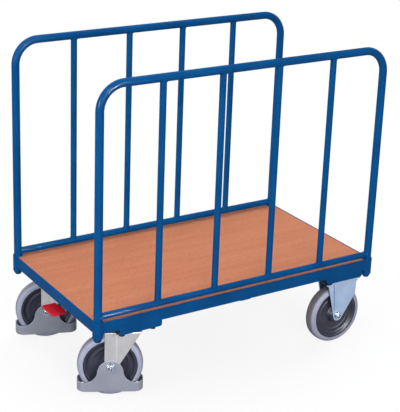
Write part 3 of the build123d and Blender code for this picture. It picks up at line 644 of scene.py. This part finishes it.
def saddle_bead(origin, main_axis, branch_axis, main_r, branch_r):
    """Bead round a branch tube: radius r at angle a beside the branch axis, and the root of
    main_r squared less (r sin a) squared along it, with a rippled circle about every point."""
    around = np.linspace(0, 2 * pi, SADDLE_STEPS)[:, None]
    outward = heading(around, main_axis, np.cross(branch_axis, main_axis))
    reach = np.sqrt(np.maximum(main_r ** 2 - (branch_r * np.sin(around)) ** 2, 0))
    line = origin + branch_r * outward + reach[..., None] * branch_axis
    ripples = round(2 * pi * branch_r / RIPPLE_PITCH)
    radius = BEAD_R * (1 + BEAD_RIPPLE * np.cos(ripples * around))
    return line + radius[..., None] * heading(BEAD_SECTION, outward, branch_axis)


def side_measures(side):
    """Axes and radii of one side, read from the boxes of its tubes."""
    hoop_low, hoop_high = np.array(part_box(f"{side}_hoop"))
    bar_low, bar_high = np.array(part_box(f"{side}_lower_bar"))
    post_low, post_high = np.array(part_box(f"{side}_uprights"))
    hoop_r = (hoop_high[1] - hoop_low[1]) / 2
    post_r = (post_high[1] - post_low[1]) / 2
    return {
        "y": (hoop_low[1] + hoop_high[1]) / 2,
        "legs": (hoop_low[0] + hoop_r, hoop_high[0] - hoop_r),
        "top": hoop_high[2] - hoop_r,
        "bar": (bar_low[2] + bar_high[2]) / 2,
        "posts": np.linspace(post_low[0] + post_r, post_high[0] - post_r, UPRIGHTS),
        "hoop_r": hoop_r,
        "bar_r": (bar_high[2] - bar_low[2]) / 2,
        "post_r": post_r,
    }


def side_beads(side):
    """Beads at both ends of every upright and of the lower bar."""
    at = side_measures(side)
    beads = []
    for x in at["posts"]:
        top = np.array([x, at["y"], at["top"]])
        foot = np.array([x, at["y"], at["bar"]])
        beads.append(saddle_bead(top, X_AXIS, -Z_AXIS, at["hoop_r"], at["post_r"]))
        beads.append(saddle_bead(foot, X_AXIS, Z_AXIS, at["bar_r"], at["post_r"]))
    for x, inward in zip(at["legs"], (X_AXIS, -X_AXIS)):
        end = np.array([x, at["y"], at["bar"]])
        beads.append(saddle_bead(end, Z_AXIS, inward, at["hoop_r"], at["bar_r"]))
    return beads


for side in SIDES:
    piece(f"{side}_side_welds", side_beads(side), blue_coat, f"{side}_side")

# %% [markdown]
# ## Weld beads on the corner sockets
# Each socket stands a little proud of the two rails that meet there, and is welded to both along
# straight upright lines. The line lies where the socket's circle crosses the face of the rail. The
# bead swells from nothing at both ends, so its radius is the root of one less a high power of the
# place along the line.

# %% Weld beads on the corner sockets
BEAD_STEPS = 61
BEAD_END_POWER = 8
ASKEW = X_AXIS + 2 * Z_AXIS     # no bead runs along this direction


def straight_bead(start, end, radius, ripple=BEAD_RIPPLE):
    """Bead along a straight line: circles whose radius ripples, and falls to nothing at both ends."""
    along = np.linspace(-1, 1, BEAD_STEPS)[:, None]
    run = end - start
    first = unit(np.cross(run, ASKEW))
    second = unit(np.cross(run, first))
    ripples = pi * np.linalg.norm(run) / RIPPLE_PITCH
    swell = np.sqrt(1 - along ** BEAD_END_POWER) * (1 + ripple * np.cos(ripples * along))
    line = (start + end) / 2 + run / 2 * along[..., None]
    return line + radius * swell[..., None] * heading(BEAD_SECTION, first, second)


def socket_beads():
    """Two upright beads for each socket, one on the long rail and one on the end rail."""
    rail_low, rail_high = np.array(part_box("front_rail"))
    end_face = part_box("fixed_end_rail")[1][0]
    side_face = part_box("back_rail")[1][1]
    socket_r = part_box("corner_sockets")[1][0] - side_measures("back")["legs"][1]
    beads = []
    for side, sign_y in zip(SIDES, (-1, 1)):
        at = side_measures(side)
        for x, sign_x in zip(at["legs"], (-1, 1)):
            inset_x = end_face - abs(x)
            inset_y = side_face - abs(at["y"])
            along = x - sign_x * np.sqrt(socket_r ** 2 - inset_y ** 2)
            across = at["y"] - sign_y * np.sqrt(socket_r ** 2 - inset_x ** 2)
            on_rail = np.array([along, sign_y * side_face, 0])
            on_end = np.array([sign_x * end_face, across, 0])
            for foot in (on_rail, on_end):
                beads.append(straight_bead(foot + rail_low[2] * Z_AXIS, foot + rail_high[2] * Z_AXIS, BEAD_R))
    return beads


piece("socket_welds", socket_beads(), blue_coat, "chassis")

# %% [markdown]
# The caster channels are welded under the long rails, and on the outside the bead is ground flat before
# painting, so no line shows there. What is left is a very low swelling along the joint: a raised cosine,
# which runs out level on both faces, a few millimetres wide and a fraction of a millimetre high, carried
# along the channel.

# %% Ground seams
SEAM_HALF = 7.0 * MM
SEAM_H = 0.4 * MM
SEAM_SUNK = 0.05 * MM
SEAM_BACK = 0.8 * MM
SEAM_GRID = (41, 25)
SEAM_END_POWER = 12


def seam_strip(channel, sign_y):
    """Raised cosine along the joint of a channel and a rail, falling to nothing at both ends, with a flat
    back inside the sheet."""
    low, high = np.array(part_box(channel))
    joint_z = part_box("front_rail")[0][2]
    face_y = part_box("back_rail")[1][1]
    along, section = plan_grid(*SEAM_GRID)
    place_x = (low[0] + high[0]) / 2 + (high[0] - low[0]) / 2 * along
    place_z = joint_z + SEAM_HALF * section
    rise = SEAM_H * (1 - along ** SEAM_END_POWER) * (1 + np.cos(pi * section)) / 2 - SEAM_SUNK
    front = np.stack([place_x, sign_y * (face_y + rise), place_z], axis=-1)
    back = np.stack([place_x, np.full_like(rise, sign_y * (face_y - SEAM_BACK)), place_z], axis=-1)
    closed = np.concatenate([front, back[:, ::-1], front[:, :1]], axis=1)
    middle = np.broadcast_to(closed.mean(axis=1, keepdims=True), closed.shape)
    return np.concatenate([middle[:1], closed, middle[-1:]])


seams = [seam_strip(channel, sign_y) for channel in ("swivel_channel", "fixed_channel") for sign_y in (-1, 1)]
piece("ground_seams", seams, blue_coat, "chassis")

# %% [markdown]
# ## Tyres
# A solid rubber tyre is cast in a two-part mould. Its section is flat where it sits on the wheel
# centre and round outside: half a superellipse, whose sine and cosine are raised to a power below one,
# is a little fuller than an ellipse. A low edge runs round both sides of the tread, the mould leaves a
# thin parting line round its middle, and a shallow ring lies near the foot of each side. The section
# is then turned about the axle.

# %% Tyres
TYRE_BLOCK = 0.7
TREAD_HALF = 13.5 * MM
EDGE_H = 0.4 * MM
EDGE_W = 1.2 * MM
PARTING_H = 0.35 * MM
PARTING_W = 0.7 * MM
RING_DEPTH = 0.5 * MM
RING_W = 1.0 * MM
RING_PLACE = 0.2
# Dust and painted shade on the tread: the width of its blend and its strength on each wheel.
DUST_AND_SHADE_BLEND = 6.0 * MM
DUST_AND_SHADE_OF_WHEEL = {"front_swivel": 0.5, "back_swivel": 0.5, "front_fixed": 1.0, "back_fixed": 1.0}
TYRE_GRID = (145, 101)


def wheel_axes(wheel):
    """Centre of a wheel and its forward, axle and upward directions."""
    joint = joints[f"{wheel}_wheel_spin"]
    axle = unit(joint["axis"])
    return np.array(joint["pos_m"]), np.cross(axle, Z_AXIS), axle, Z_AXIS


def reach_of(node, centre, direction):
    """Least and greatest distance of a solid from a centre along a direction."""
    solid = nodes[node].data
    points = np.empty(len(solid.vertices) * 3)
    solid.vertices.foreach_get("co", points)
    along = (points.reshape(-1, 3) - centre) @ direction
    return along.min(), along.max()


def tyre_grid(wheel):
    """Tyre surface: half a superellipse, with the edges and parting line of its tread and its side rings,
    closed along the seat and turned about the axle, and the dust and painted shade on each point."""
    centre, forward, axle, upward = wheel_axes(wheel)
    outer = reach_of(f"{wheel}_tyre", centre, upward)[1]
    inner = reach_of(f"{wheel}_rim", centre, upward)[1]
    half = reach_of(f"{wheel}_tyre", centre, axle)[1]
    around = np.linspace(0, 2 * pi, TYRE_GRID[0])[:, None]
    section = np.linspace(0, pi, TYRE_GRID[1])[None, :]
    across = half * np.sign(np.cos(section)) * np.abs(np.cos(section)) ** TYRE_BLOCK
    lift = np.sin(section) ** TYRE_BLOCK
    parting = PARTING_H * np.exp(-(across / PARTING_W) ** 2)
    edge = EDGE_H * np.exp(-((np.abs(across) - TREAD_HALF) / EDGE_W) ** 2)
    radius = inner + (outer - inner - PARTING_H) * lift + parting + edge
    ring = np.exp(-((lift - RING_PLACE) * (outer - inner) / RING_W) ** 2)
    across = across * (1 - ring * RING_DEPTH / half)
    grid = centre + radius[..., None] * heading(around, forward, upward) + across[..., None] * axle
    # Share of dust and painted shade: full in the middle of the tread, nought on the sides.
    tread = DUST_AND_SHADE_OF_WHEEL[wheel] * np.clip((TREAD_HALF - np.abs(across)) / DUST_AND_SHADE_BLEND + 0.5, 0, 1)
    closed = np.concatenate([grid, grid[:, :1]], axis=1)
    return closed, np.broadcast_to(np.append(tread, 0)[None, :], closed.shape[:2])


for wheel in WHEELS:
    tyre, tread = tyre_grid(wheel)
    made = piece(f"{wheel}_rubber", [tyre], grey_rubber, f"{wheel}_wheel", dust_and_shade=tread)
    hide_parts(f"{wheel}_tyre")

# %% [markdown]
# ## Wheel centres
# The black wheel centre is moulded with soft corners everywhere, because a sharp inner corner would
# crack. Over the radius, the height of its face is a sum of smooth steps: down from the hub to the web,
# over a low ring on the web, and up again to the band under the tyre, whose rim ends in a small round.
# The same face is used on both sides, and the profile is turned about the axle.

# %% Wheel centres
HUB_R = 22.0 * MM
HUB_SLOPE = 9.0 * MM
WEB_HALF = 11.0 * MM
WEB_RING_R = 57.0 * MM
WEB_RING_W = 4.0 * MM
WEB_RING_H = 1.6 * MM
BAND_HALF = 19.0 * MM
BAND_T = 6.0 * MM
BAND_SLOPE = 10.0 * MM
BAND_ROUND = 1.5 * MM
FACE_STEPS = 64
ROUND_STEPS = 7
AROUND = np.linspace(0, 2 * pi, 73)


def turned_grid(base, way, profile):
    """Surface of (radius, height) rows turned about an axis; a radius or height may vary round the turn."""
    first = unit(np.cross(way, Z_AXIS))
    spoke = heading(AROUND, first, np.cross(way, first))
    radius = np.stack([np.broadcast_to(row[0], AROUND.shape) for row in profile])[..., None]
    height = np.stack([np.broadcast_to(row[1], AROUND.shape) for row in profile])[..., None]
    return base + radius * spoke + height * way


def smooth_step(value):
    """Nought below nought, one above one, and three squares less two cubes between."""
    share = np.clip(value, 0, 1)
    return share ** 2 * (3 - 2 * share)


def centre_profile(bore, outer, hub_half):
    """Radii and heights of one face from the bore to the outer round, and back along the other face."""
    reach = np.linspace(bore, outer - BAND_ROUND, FACE_STEPS)
    hub = (hub_half - WEB_HALF) * (1 - smooth_step((reach - HUB_R) / HUB_SLOPE))
    ring = WEB_RING_H * np.exp(-((reach - WEB_RING_R) / WEB_RING_W) ** 2)
    band = (BAND_HALF - WEB_HALF) * smooth_step((reach - outer + BAND_T) / BAND_SLOPE + 1)
    turn = np.linspace(pi / 2, 0, ROUND_STEPS)[1:]
    radius = np.concatenate([reach, outer - BAND_ROUND * (1 - np.cos(turn))])
    height = np.concatenate([WEB_HALF + hub + ring + band, BAND_HALF - BAND_ROUND * (1 - np.sin(turn))])
    face = list(zip(radius, height))
    other = list(zip(radius[::-1], -height[::-1]))
    return face + other + face[:1]


for wheel in WHEELS:
    centre, _, axle, upward = wheel_axes(wheel)
    bore = reach_of(f"{wheel}_bearings", centre, upward)[1]
    outer = reach_of(f"{wheel}_rim", centre, upward)[1]
    hub_half = reach_of(f"{wheel}_rim", centre, axle)[1]
    surface = turned_grid(centre, axle, centre_profile(bore, outer, hub_half))
    made = piece(f"{wheel}_centre", [surface], rim_plastic, f"{wheel}_wheel")
    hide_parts(f"{wheel}_rim")

# %% [markdown]
# ## Foot guards
# Each swivel caster carries a plastic ring round the foot of its wheel, hung from the axle by a lobe
# on both sides, so that no foot gets under the wheel. Its upper edge is level at the ends, and on the
# sides it runs up a hollow arc and over a round lobe. The arcs touch where the line between their
# middles crosses them. Points spread evenly along that edge keep the cells even on the steep parts.

# %% Guard edges
BAND_H = 31.0 * MM
LOBE_R = 40.0 * MM
LOBE_BLEND = 38.0 * MM
ARC_STEPS = 24


def lobe_arcs(band_top, lobe_top):
    """Heights of the middles of the lobe and of the hollow arcs, and how far out the arcs' middles lie."""
    lobe_z = lobe_top - LOBE_R
    hollow_z = band_top + LOBE_BLEND
    return lobe_z, hollow_z, np.sqrt((LOBE_R + LOBE_BLEND) ** 2 - (hollow_z - lobe_z) ** 2)


def lobe_edge(end, arcs):
    """Upper edge of one flat side in (along, height): hollow arc, lobe and hollow arc, with evenly spread
    points and the angle that points out of the wall at each of them."""
    lobe_z, hollow_z, hollow_x = arcs
    touch = np.arctan2(hollow_z - lobe_z, hollow_x)
    lobe = np.linspace(pi / 2, touch, ARC_STEPS)
    hollow = np.linspace(touch, np.arccos((hollow_x - end) / LOBE_BLEND), ARC_STEPS)[1:]
    along = np.concatenate([LOBE_R * np.cos(lobe), hollow_x - LOBE_BLEND * np.cos(hollow)])
    height = np.concatenate([lobe_z + LOBE_R * np.sin(lobe), hollow_z - LOBE_BLEND * np.sin(hollow)])
    out = np.concatenate([lobe, hollow])
    mirrored = slice(None, 0, -1)
    return (np.concatenate([-along[mirrored], along]), np.concatenate([height[mirrored], height]),
            np.concatenate([pi - out[mirrored], out]))


def corner_edge(bend_x, bend, arcs):
    """Height and outward angle of the edge round a corner, where the hollow arc runs out into the level."""
    _, hollow_z, hollow_x = arcs
    short = np.maximum(hollow_x - bend_x, 0)
    drop = np.sqrt(LOBE_BLEND ** 2 - short ** 2)
    return hollow_z - drop, pi / 2 - np.arctan(short / drop * np.sin(bend))


print("guard lobes of", LOBE_R, "m on hollow arcs of", LOBE_BLEND, "m")

# %% [markdown]
# The guard is one thin wall that follows a rounded oblong seen from above. Only half of its columns are
# worked out, one flat side and the two corners after it, and half a turn about the middle gives the rest.
# The wall closes over a full round at the top and the bottom, as a moulded lip does.

# %% Guard walls
GUARD_WALL = 3.0 * MM
GUARD_CORNER = 27.0 * MM
CORNER_STEPS = 13
LIP_STEPS = 9


def guard_columns(end, side_run, corner, arcs):
    """Facing angle, place along, place across, edge height and outward angle of the edge for every column."""
    along, height, out = lobe_edge(end, arcs)
    quarter = np.linspace(pi / 2, 0, CORNER_STEPS)
    bend = np.concatenate([quarter[1:], quarter[:-1] - pi / 2])
    bend_x = end + corner * np.cos(bend)
    bend_height, bend_out = corner_edge(bend_x, bend, arcs)
    facing = np.concatenate([np.full(along.size, pi / 2), bend])
    place_x = np.concatenate([along, bend_x])
    middle = np.repeat([side_run, -side_run], [along.size + bend.size // 2, bend.size // 2])
    place_y = middle + corner * np.sin(facing)
    height = np.concatenate([height, bend_height])
    out = np.concatenate([out, bend_out])
    halves = ((facing, facing + pi), (place_x, -place_x), (place_y, -place_y), (height, height), (out, out))
    return [np.concatenate([half, other, half[:1]]) for half, other in halves]


def guard_grid(side):
    """Wall of the guard: columns round the oblong, and rows round the foot, up the outside, over the lip
    and down the inside."""
    node = f"{side}_foot_guard"
    centre, forward, axle, upward = wheel_axes(f"{side}_swivel")
    half = GUARD_WALL / 2
    end = reach_of(node, centre, forward)[1] - GUARD_CORNER
    side_run = reach_of(node, centre, axle)[1] - GUARD_CORNER
    foot, lobe_top = reach_of(node, centre, upward)
    arcs = lobe_arcs(foot + BAND_H, lobe_top)
    facing, place_x, place_y, height, out = guard_columns(end, side_run, GUARD_CORNER - half, arcs)
    outward = heading(facing, forward, axle)
    lip_way = heading(out, heading(facing, -axle, forward), upward)
    plan = centre + place_x[:, None] * forward + place_y[:, None] * axle
    foot_line = plan + (foot + half) * upward
    lip_line = plan + height[:, None] * upward - half * lip_way
    turn = np.linspace(0, pi, LIP_STEPS)[:, None]
    share = np.linspace(0, 1, LIP_STEPS)[1:-1, None, None]
    foot_round = foot_line - half * heading(turn, outward, upward)
    outside = foot_line + (lip_line - foot_line) * share + half * outward
    lip_round = lip_line + half * heading(turn, outward, lip_way)
    inside = lip_line + (foot_line - lip_line) * share - half * outward
    return np.concatenate([foot_round, outside, lip_round, inside, foot_round[:1]])


for side in SIDES:
    made = piece(f"{side}_guard_wall", [guard_grid(side)], guard_plastic, f"{side}_swivel")
    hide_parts(f"{side}_foot_guard")

# %% [markdown]
# ## Pressed creases
# The legs of the forks and brackets are stiffened by a crease that is pressed into the sheet beside the
# axle. Its outside shows as a low ridge from the plate down to the axle, upright on a fork and a little
# slanted on a bracket. It is a straight bead without ripples, sunk so far into the leg that only a flat
# cap of it stands out.

# %% Pressed creases
CREASE_R = 3.2 * MM
CREASE_OUT = 0.7 * MM
CREASE_FOOT = 15.0 * MM
CREASE_END = 5.0 * MM
FORK_CREASE = (17.0 * MM, 17.0 * MM)
BRACKET_CREASE = (-16.0 * MM, -25.5 * MM)


def half_width(side, part):
    """How far a part of a swivel caster stands out along its axle. A bracket is as wide as a fork."""
    centre, _, axle, _ = wheel_axes(f"{side}_swivel")
    return reach_of(f"{side}_{part}", centre, axle)[1]


def leg_creases(wheel, sunk, top, ahead):
    """Ridge on the outside of both legs, by the places of its foot and its top ahead of the axle."""
    centre, forward, axle, upward = wheel_axes(wheel)
    foot = centre + ahead[0] * forward + CREASE_FOOT * upward
    head = centre + ahead[1] * forward + (top - centre[2] - CREASE_END) * upward
    offsets = [way * sunk * axle for way in (-1, 1)]
    return [straight_bead(foot + offset, head + offset, CREASE_R, ripple=0.0) for offset in offsets]


# The fork ridges take a painted highlight and the bracket ridges a darker painted reflection.
for side in SIDES:
    sunk = half_width(side, "fork") + CREASE_OUT - CREASE_R
    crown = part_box(f"{side}_fork")[1][2]
    fork_creases = leg_creases(f"{side}_swivel", sunk, crown, FORK_CREASE)
    piece(f"{side}_fork_creases", fork_creases, crease_painted_highlight, f"{side}_swivel")
    bracket_creases = leg_creases(f"{side}_fixed", sunk, plate_foot, BRACKET_CREASE)
    piece(f"{side}_bracket_creases", bracket_creases, crease_painted_reflection, "chassis")

# %% [markdown]
# ## Axle bolts
# The axles are hexagon bolts with a washer under the head and under the nut. Going round a hexagon, the
# distance to its edge is half the width across the flats, divided by the cosine of the angle to the
# nearest flat. A lathe then cuts the corners at thirty degrees, which is why a real bolt head shows
# curved flats, and forging leaves a ring-shaped hollow in the head. One profile of radii and heights,
# turned about the axle, makes washer and head, and another makes washer, nut and the end of the bolt. The
# hollow and the rim of the washer under each head get painted shade.

# %% Axle bolts
ACROSS_FLATS = 19.0 * MM
BOLT_R = 6.0 * MM
WASHER_R = 12.0 * MM
WASHER_T = 2.0 * MM
HEAD_H = 7.5 * MM
NUT_H = 10.0 * MM
STUD_OUT = 1.5 * MM
EASE = 0.5 * MM
CROWN_SHARE = 0.94
HOLLOW_R = 6.6 * MM
HOLLOW_CORE = 3.4 * MM
HOLLOW_D = 2.4 * MM
WASHER_ROWS = slice(1, 4)
HOLLOW_ROWS = slice(8, 10)
WASHER_SHADE = 0.7
GRIDS_PER_AXLE = 3


def washer_profile():
    """Flat ring with an eased edge."""
    return [(BOLT_R, 0.0), (WASHER_R, 0.0), (WASHER_R, WASHER_T - EASE), (WASHER_R - EASE, WASHER_T)]


def hexagon_profile(top):
    """Hexagon up to a height, with its corners cut at thirty degrees."""
    nearest = (AROUND + pi / 6) % (pi / 3) - pi / 6
    edge = ACROSS_FLATS / 2 / np.cos(nearest)
    crown = CROWN_SHARE * ACROSS_FLATS / 2
    return [(edge, WASHER_T), (edge, top - (edge - crown) * tan(pi / 6)), (crown, top)]


def axle_grids(wheel, half_grip):
    """Head, nut and shank of one axle, with the head on the front side."""
    centre, _, axle, _ = wheel_axes(wheel)
    hollow_z = HEAD_H - HOLLOW_D
    hollow = [(HOLLOW_R, HEAD_H), (HOLLOW_R - EASE, hollow_z), (HOLLOW_CORE + EASE, hollow_z),
              (HOLLOW_CORE, HEAD_H - EASE), (HOLLOW_CORE - EASE, HEAD_H), (0.0, HEAD_H)]
    stud_end = NUT_H + STUD_OUT
    stud = [(BOLT_R, NUT_H), (BOLT_R, stud_end - EASE), (BOLT_R - EASE, stud_end), (0.0, stud_end)]
    head = turned_grid(centre - half_grip * axle, -axle, washer_profile() + hexagon_profile(HEAD_H) + hollow)
    nut = turned_grid(centre + half_grip * axle, axle, washer_profile() + hexagon_profile(NUT_H) + stud)
    shank = turned_grid(centre - half_grip * axle, axle, [(BOLT_R, 0.0), (BOLT_R, 2 * half_grip)])
    return [head, nut, shank]


def bolt_shade_of(grids):
    """Painted shade: one in the hollow of each head, a share round its washer, and nought on nuts and shanks."""
    bolt_shade = [np.zeros(grid.shape[:2]) for grid in grids]
    for head in bolt_shade[::GRIDS_PER_AXLE]:
        head[WASHER_ROWS] = WASHER_SHADE
        head[HOLLOW_ROWS] = 1.0
    return np.concatenate([part.ravel() for part in bolt_shade])


fixed_bolts = []
for side in SIDES:
    bolt = axle_grids(f"{side}_swivel", half_width(side, "foot_guard"))
    # Painted shade in the hollow of each head and round its washer.
    made = piece(f"{side}_axle_bolt", bolt, bolt_steel, f"{side}_swivel", dust_and_shade=bolt_shade_of(bolt))
    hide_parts(f"{side}_swivel_axle", f"{side}_swivel_axle_nut")
    fixed_bolts += axle_grids(f"{side}_fixed", half_width(side, "fork"))
bolt_shade = bolt_shade_of(fixed_bolts)
made = piece("fixed_axle_bolts", fixed_bolts, bolt_steel, "chassis", dust_and_shade=bolt_shade)
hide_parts("fixed_axles", "fixed_axle_nuts")

# %% [markdown]
# A small dark locating pin sits above each bolt head on the guard. It is a short turned profile with a
# flattened dome, set on the face that the bolt head stands on.

# %% Locating pins
PIN_RISE = 16.0 * MM
PIN_R = 2.4 * MM
PIN_H = 1.0 * MM
DOME_R = 1.68 * MM
DOME_H = 0.9 * MM

dome = [(PIN_R, -PIN_H), (PIN_R, PIN_H / 2), (DOME_R, DOME_H), (0.0, PIN_H)]
for side in SIDES:
    centre, _, axle, upward = wheel_axes(f"{side}_swivel")
    foot = centre + PIN_RISE * upward - half_width(side, "foot_guard") * axle
    pin = turned_grid(foot, -axle, dome)
    piece(f"{side}_guard_pin", [pin], rim_plastic, f"{side}_swivel")

# %% [markdown]
# ## Foot pedal
# The pad is a moulding with soft ribs across the foot and a rounded edge all the way round. Its top is
# a height over a plan: the ribs are a cosine along the pad, and near the edge the height falls off as
# the arc of a circle does with the distance from that edge. Grid points that lie outside a rounded
# corner are pulled in onto its arc, so the grid keeps its rows and columns.

# %% Foot pedal
PAD_CORNER = 6.0 * MM
PAD_ROUND = 2.2 * MM
RIB_DEPTH = 1.3 * MM
RIBS = 5
PAD_GRID = (81, 61)


def pad_grids():
    """Top, underside and edges of the pad: ribs as a cosine, less the fall of an arc near the edge."""
    low, high = np.array(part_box("pedal_pad"))
    middle = (low + high) / 2
    half = (high - low) / 2
    place = np.stack(plan_grid(*PAD_GRID), axis=-1) * half[:2]
    beyond = np.abs(place) - (half[:2] - PAD_CORNER)
    far = np.linalg.norm(np.maximum(beyond, 0), axis=-1)
    pull = np.where((beyond > 0).all(axis=-1) & (far > PAD_CORNER), PAD_CORNER / np.maximum(far, MM), 1.0)
    inside = np.sign(place) * (np.abs(place) - np.maximum(beyond, 0) * (1 - pull[..., None]))
    beyond = np.abs(inside) - (half[:2] - PAD_CORNER)
    depth = PAD_CORNER - np.linalg.norm(np.maximum(beyond, 0), axis=-1) - np.minimum(beyond.max(axis=-1), 0)
    near_edge = np.clip(1 - depth / PAD_ROUND, 0, 1)
    fall = PAD_ROUND * (1 - np.sqrt(1 - near_edge ** 2))
    ribs = RIB_DEPTH * (1 + np.cos(RIBS * pi * (inside[..., 0] / half[0] + 1))) / 2
    top = high[2] - np.maximum(fall, ribs * (1 - near_edge))
    plan = inside + middle[:2]
    upper = np.dstack([plan, top])
    lower = np.dstack([plan, np.full(top.shape, low[2])])
    rows = (np.s_[0, :], np.s_[-1, :], np.s_[:, 0], np.s_[:, -1])
    return [upper, lower, *(np.stack([upper[row], lower[row]]) for row in rows)]


made = piece("pedal_tread", pad_grids(), pedal_plastic, "brake_pedal")
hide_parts("pedal_pad")
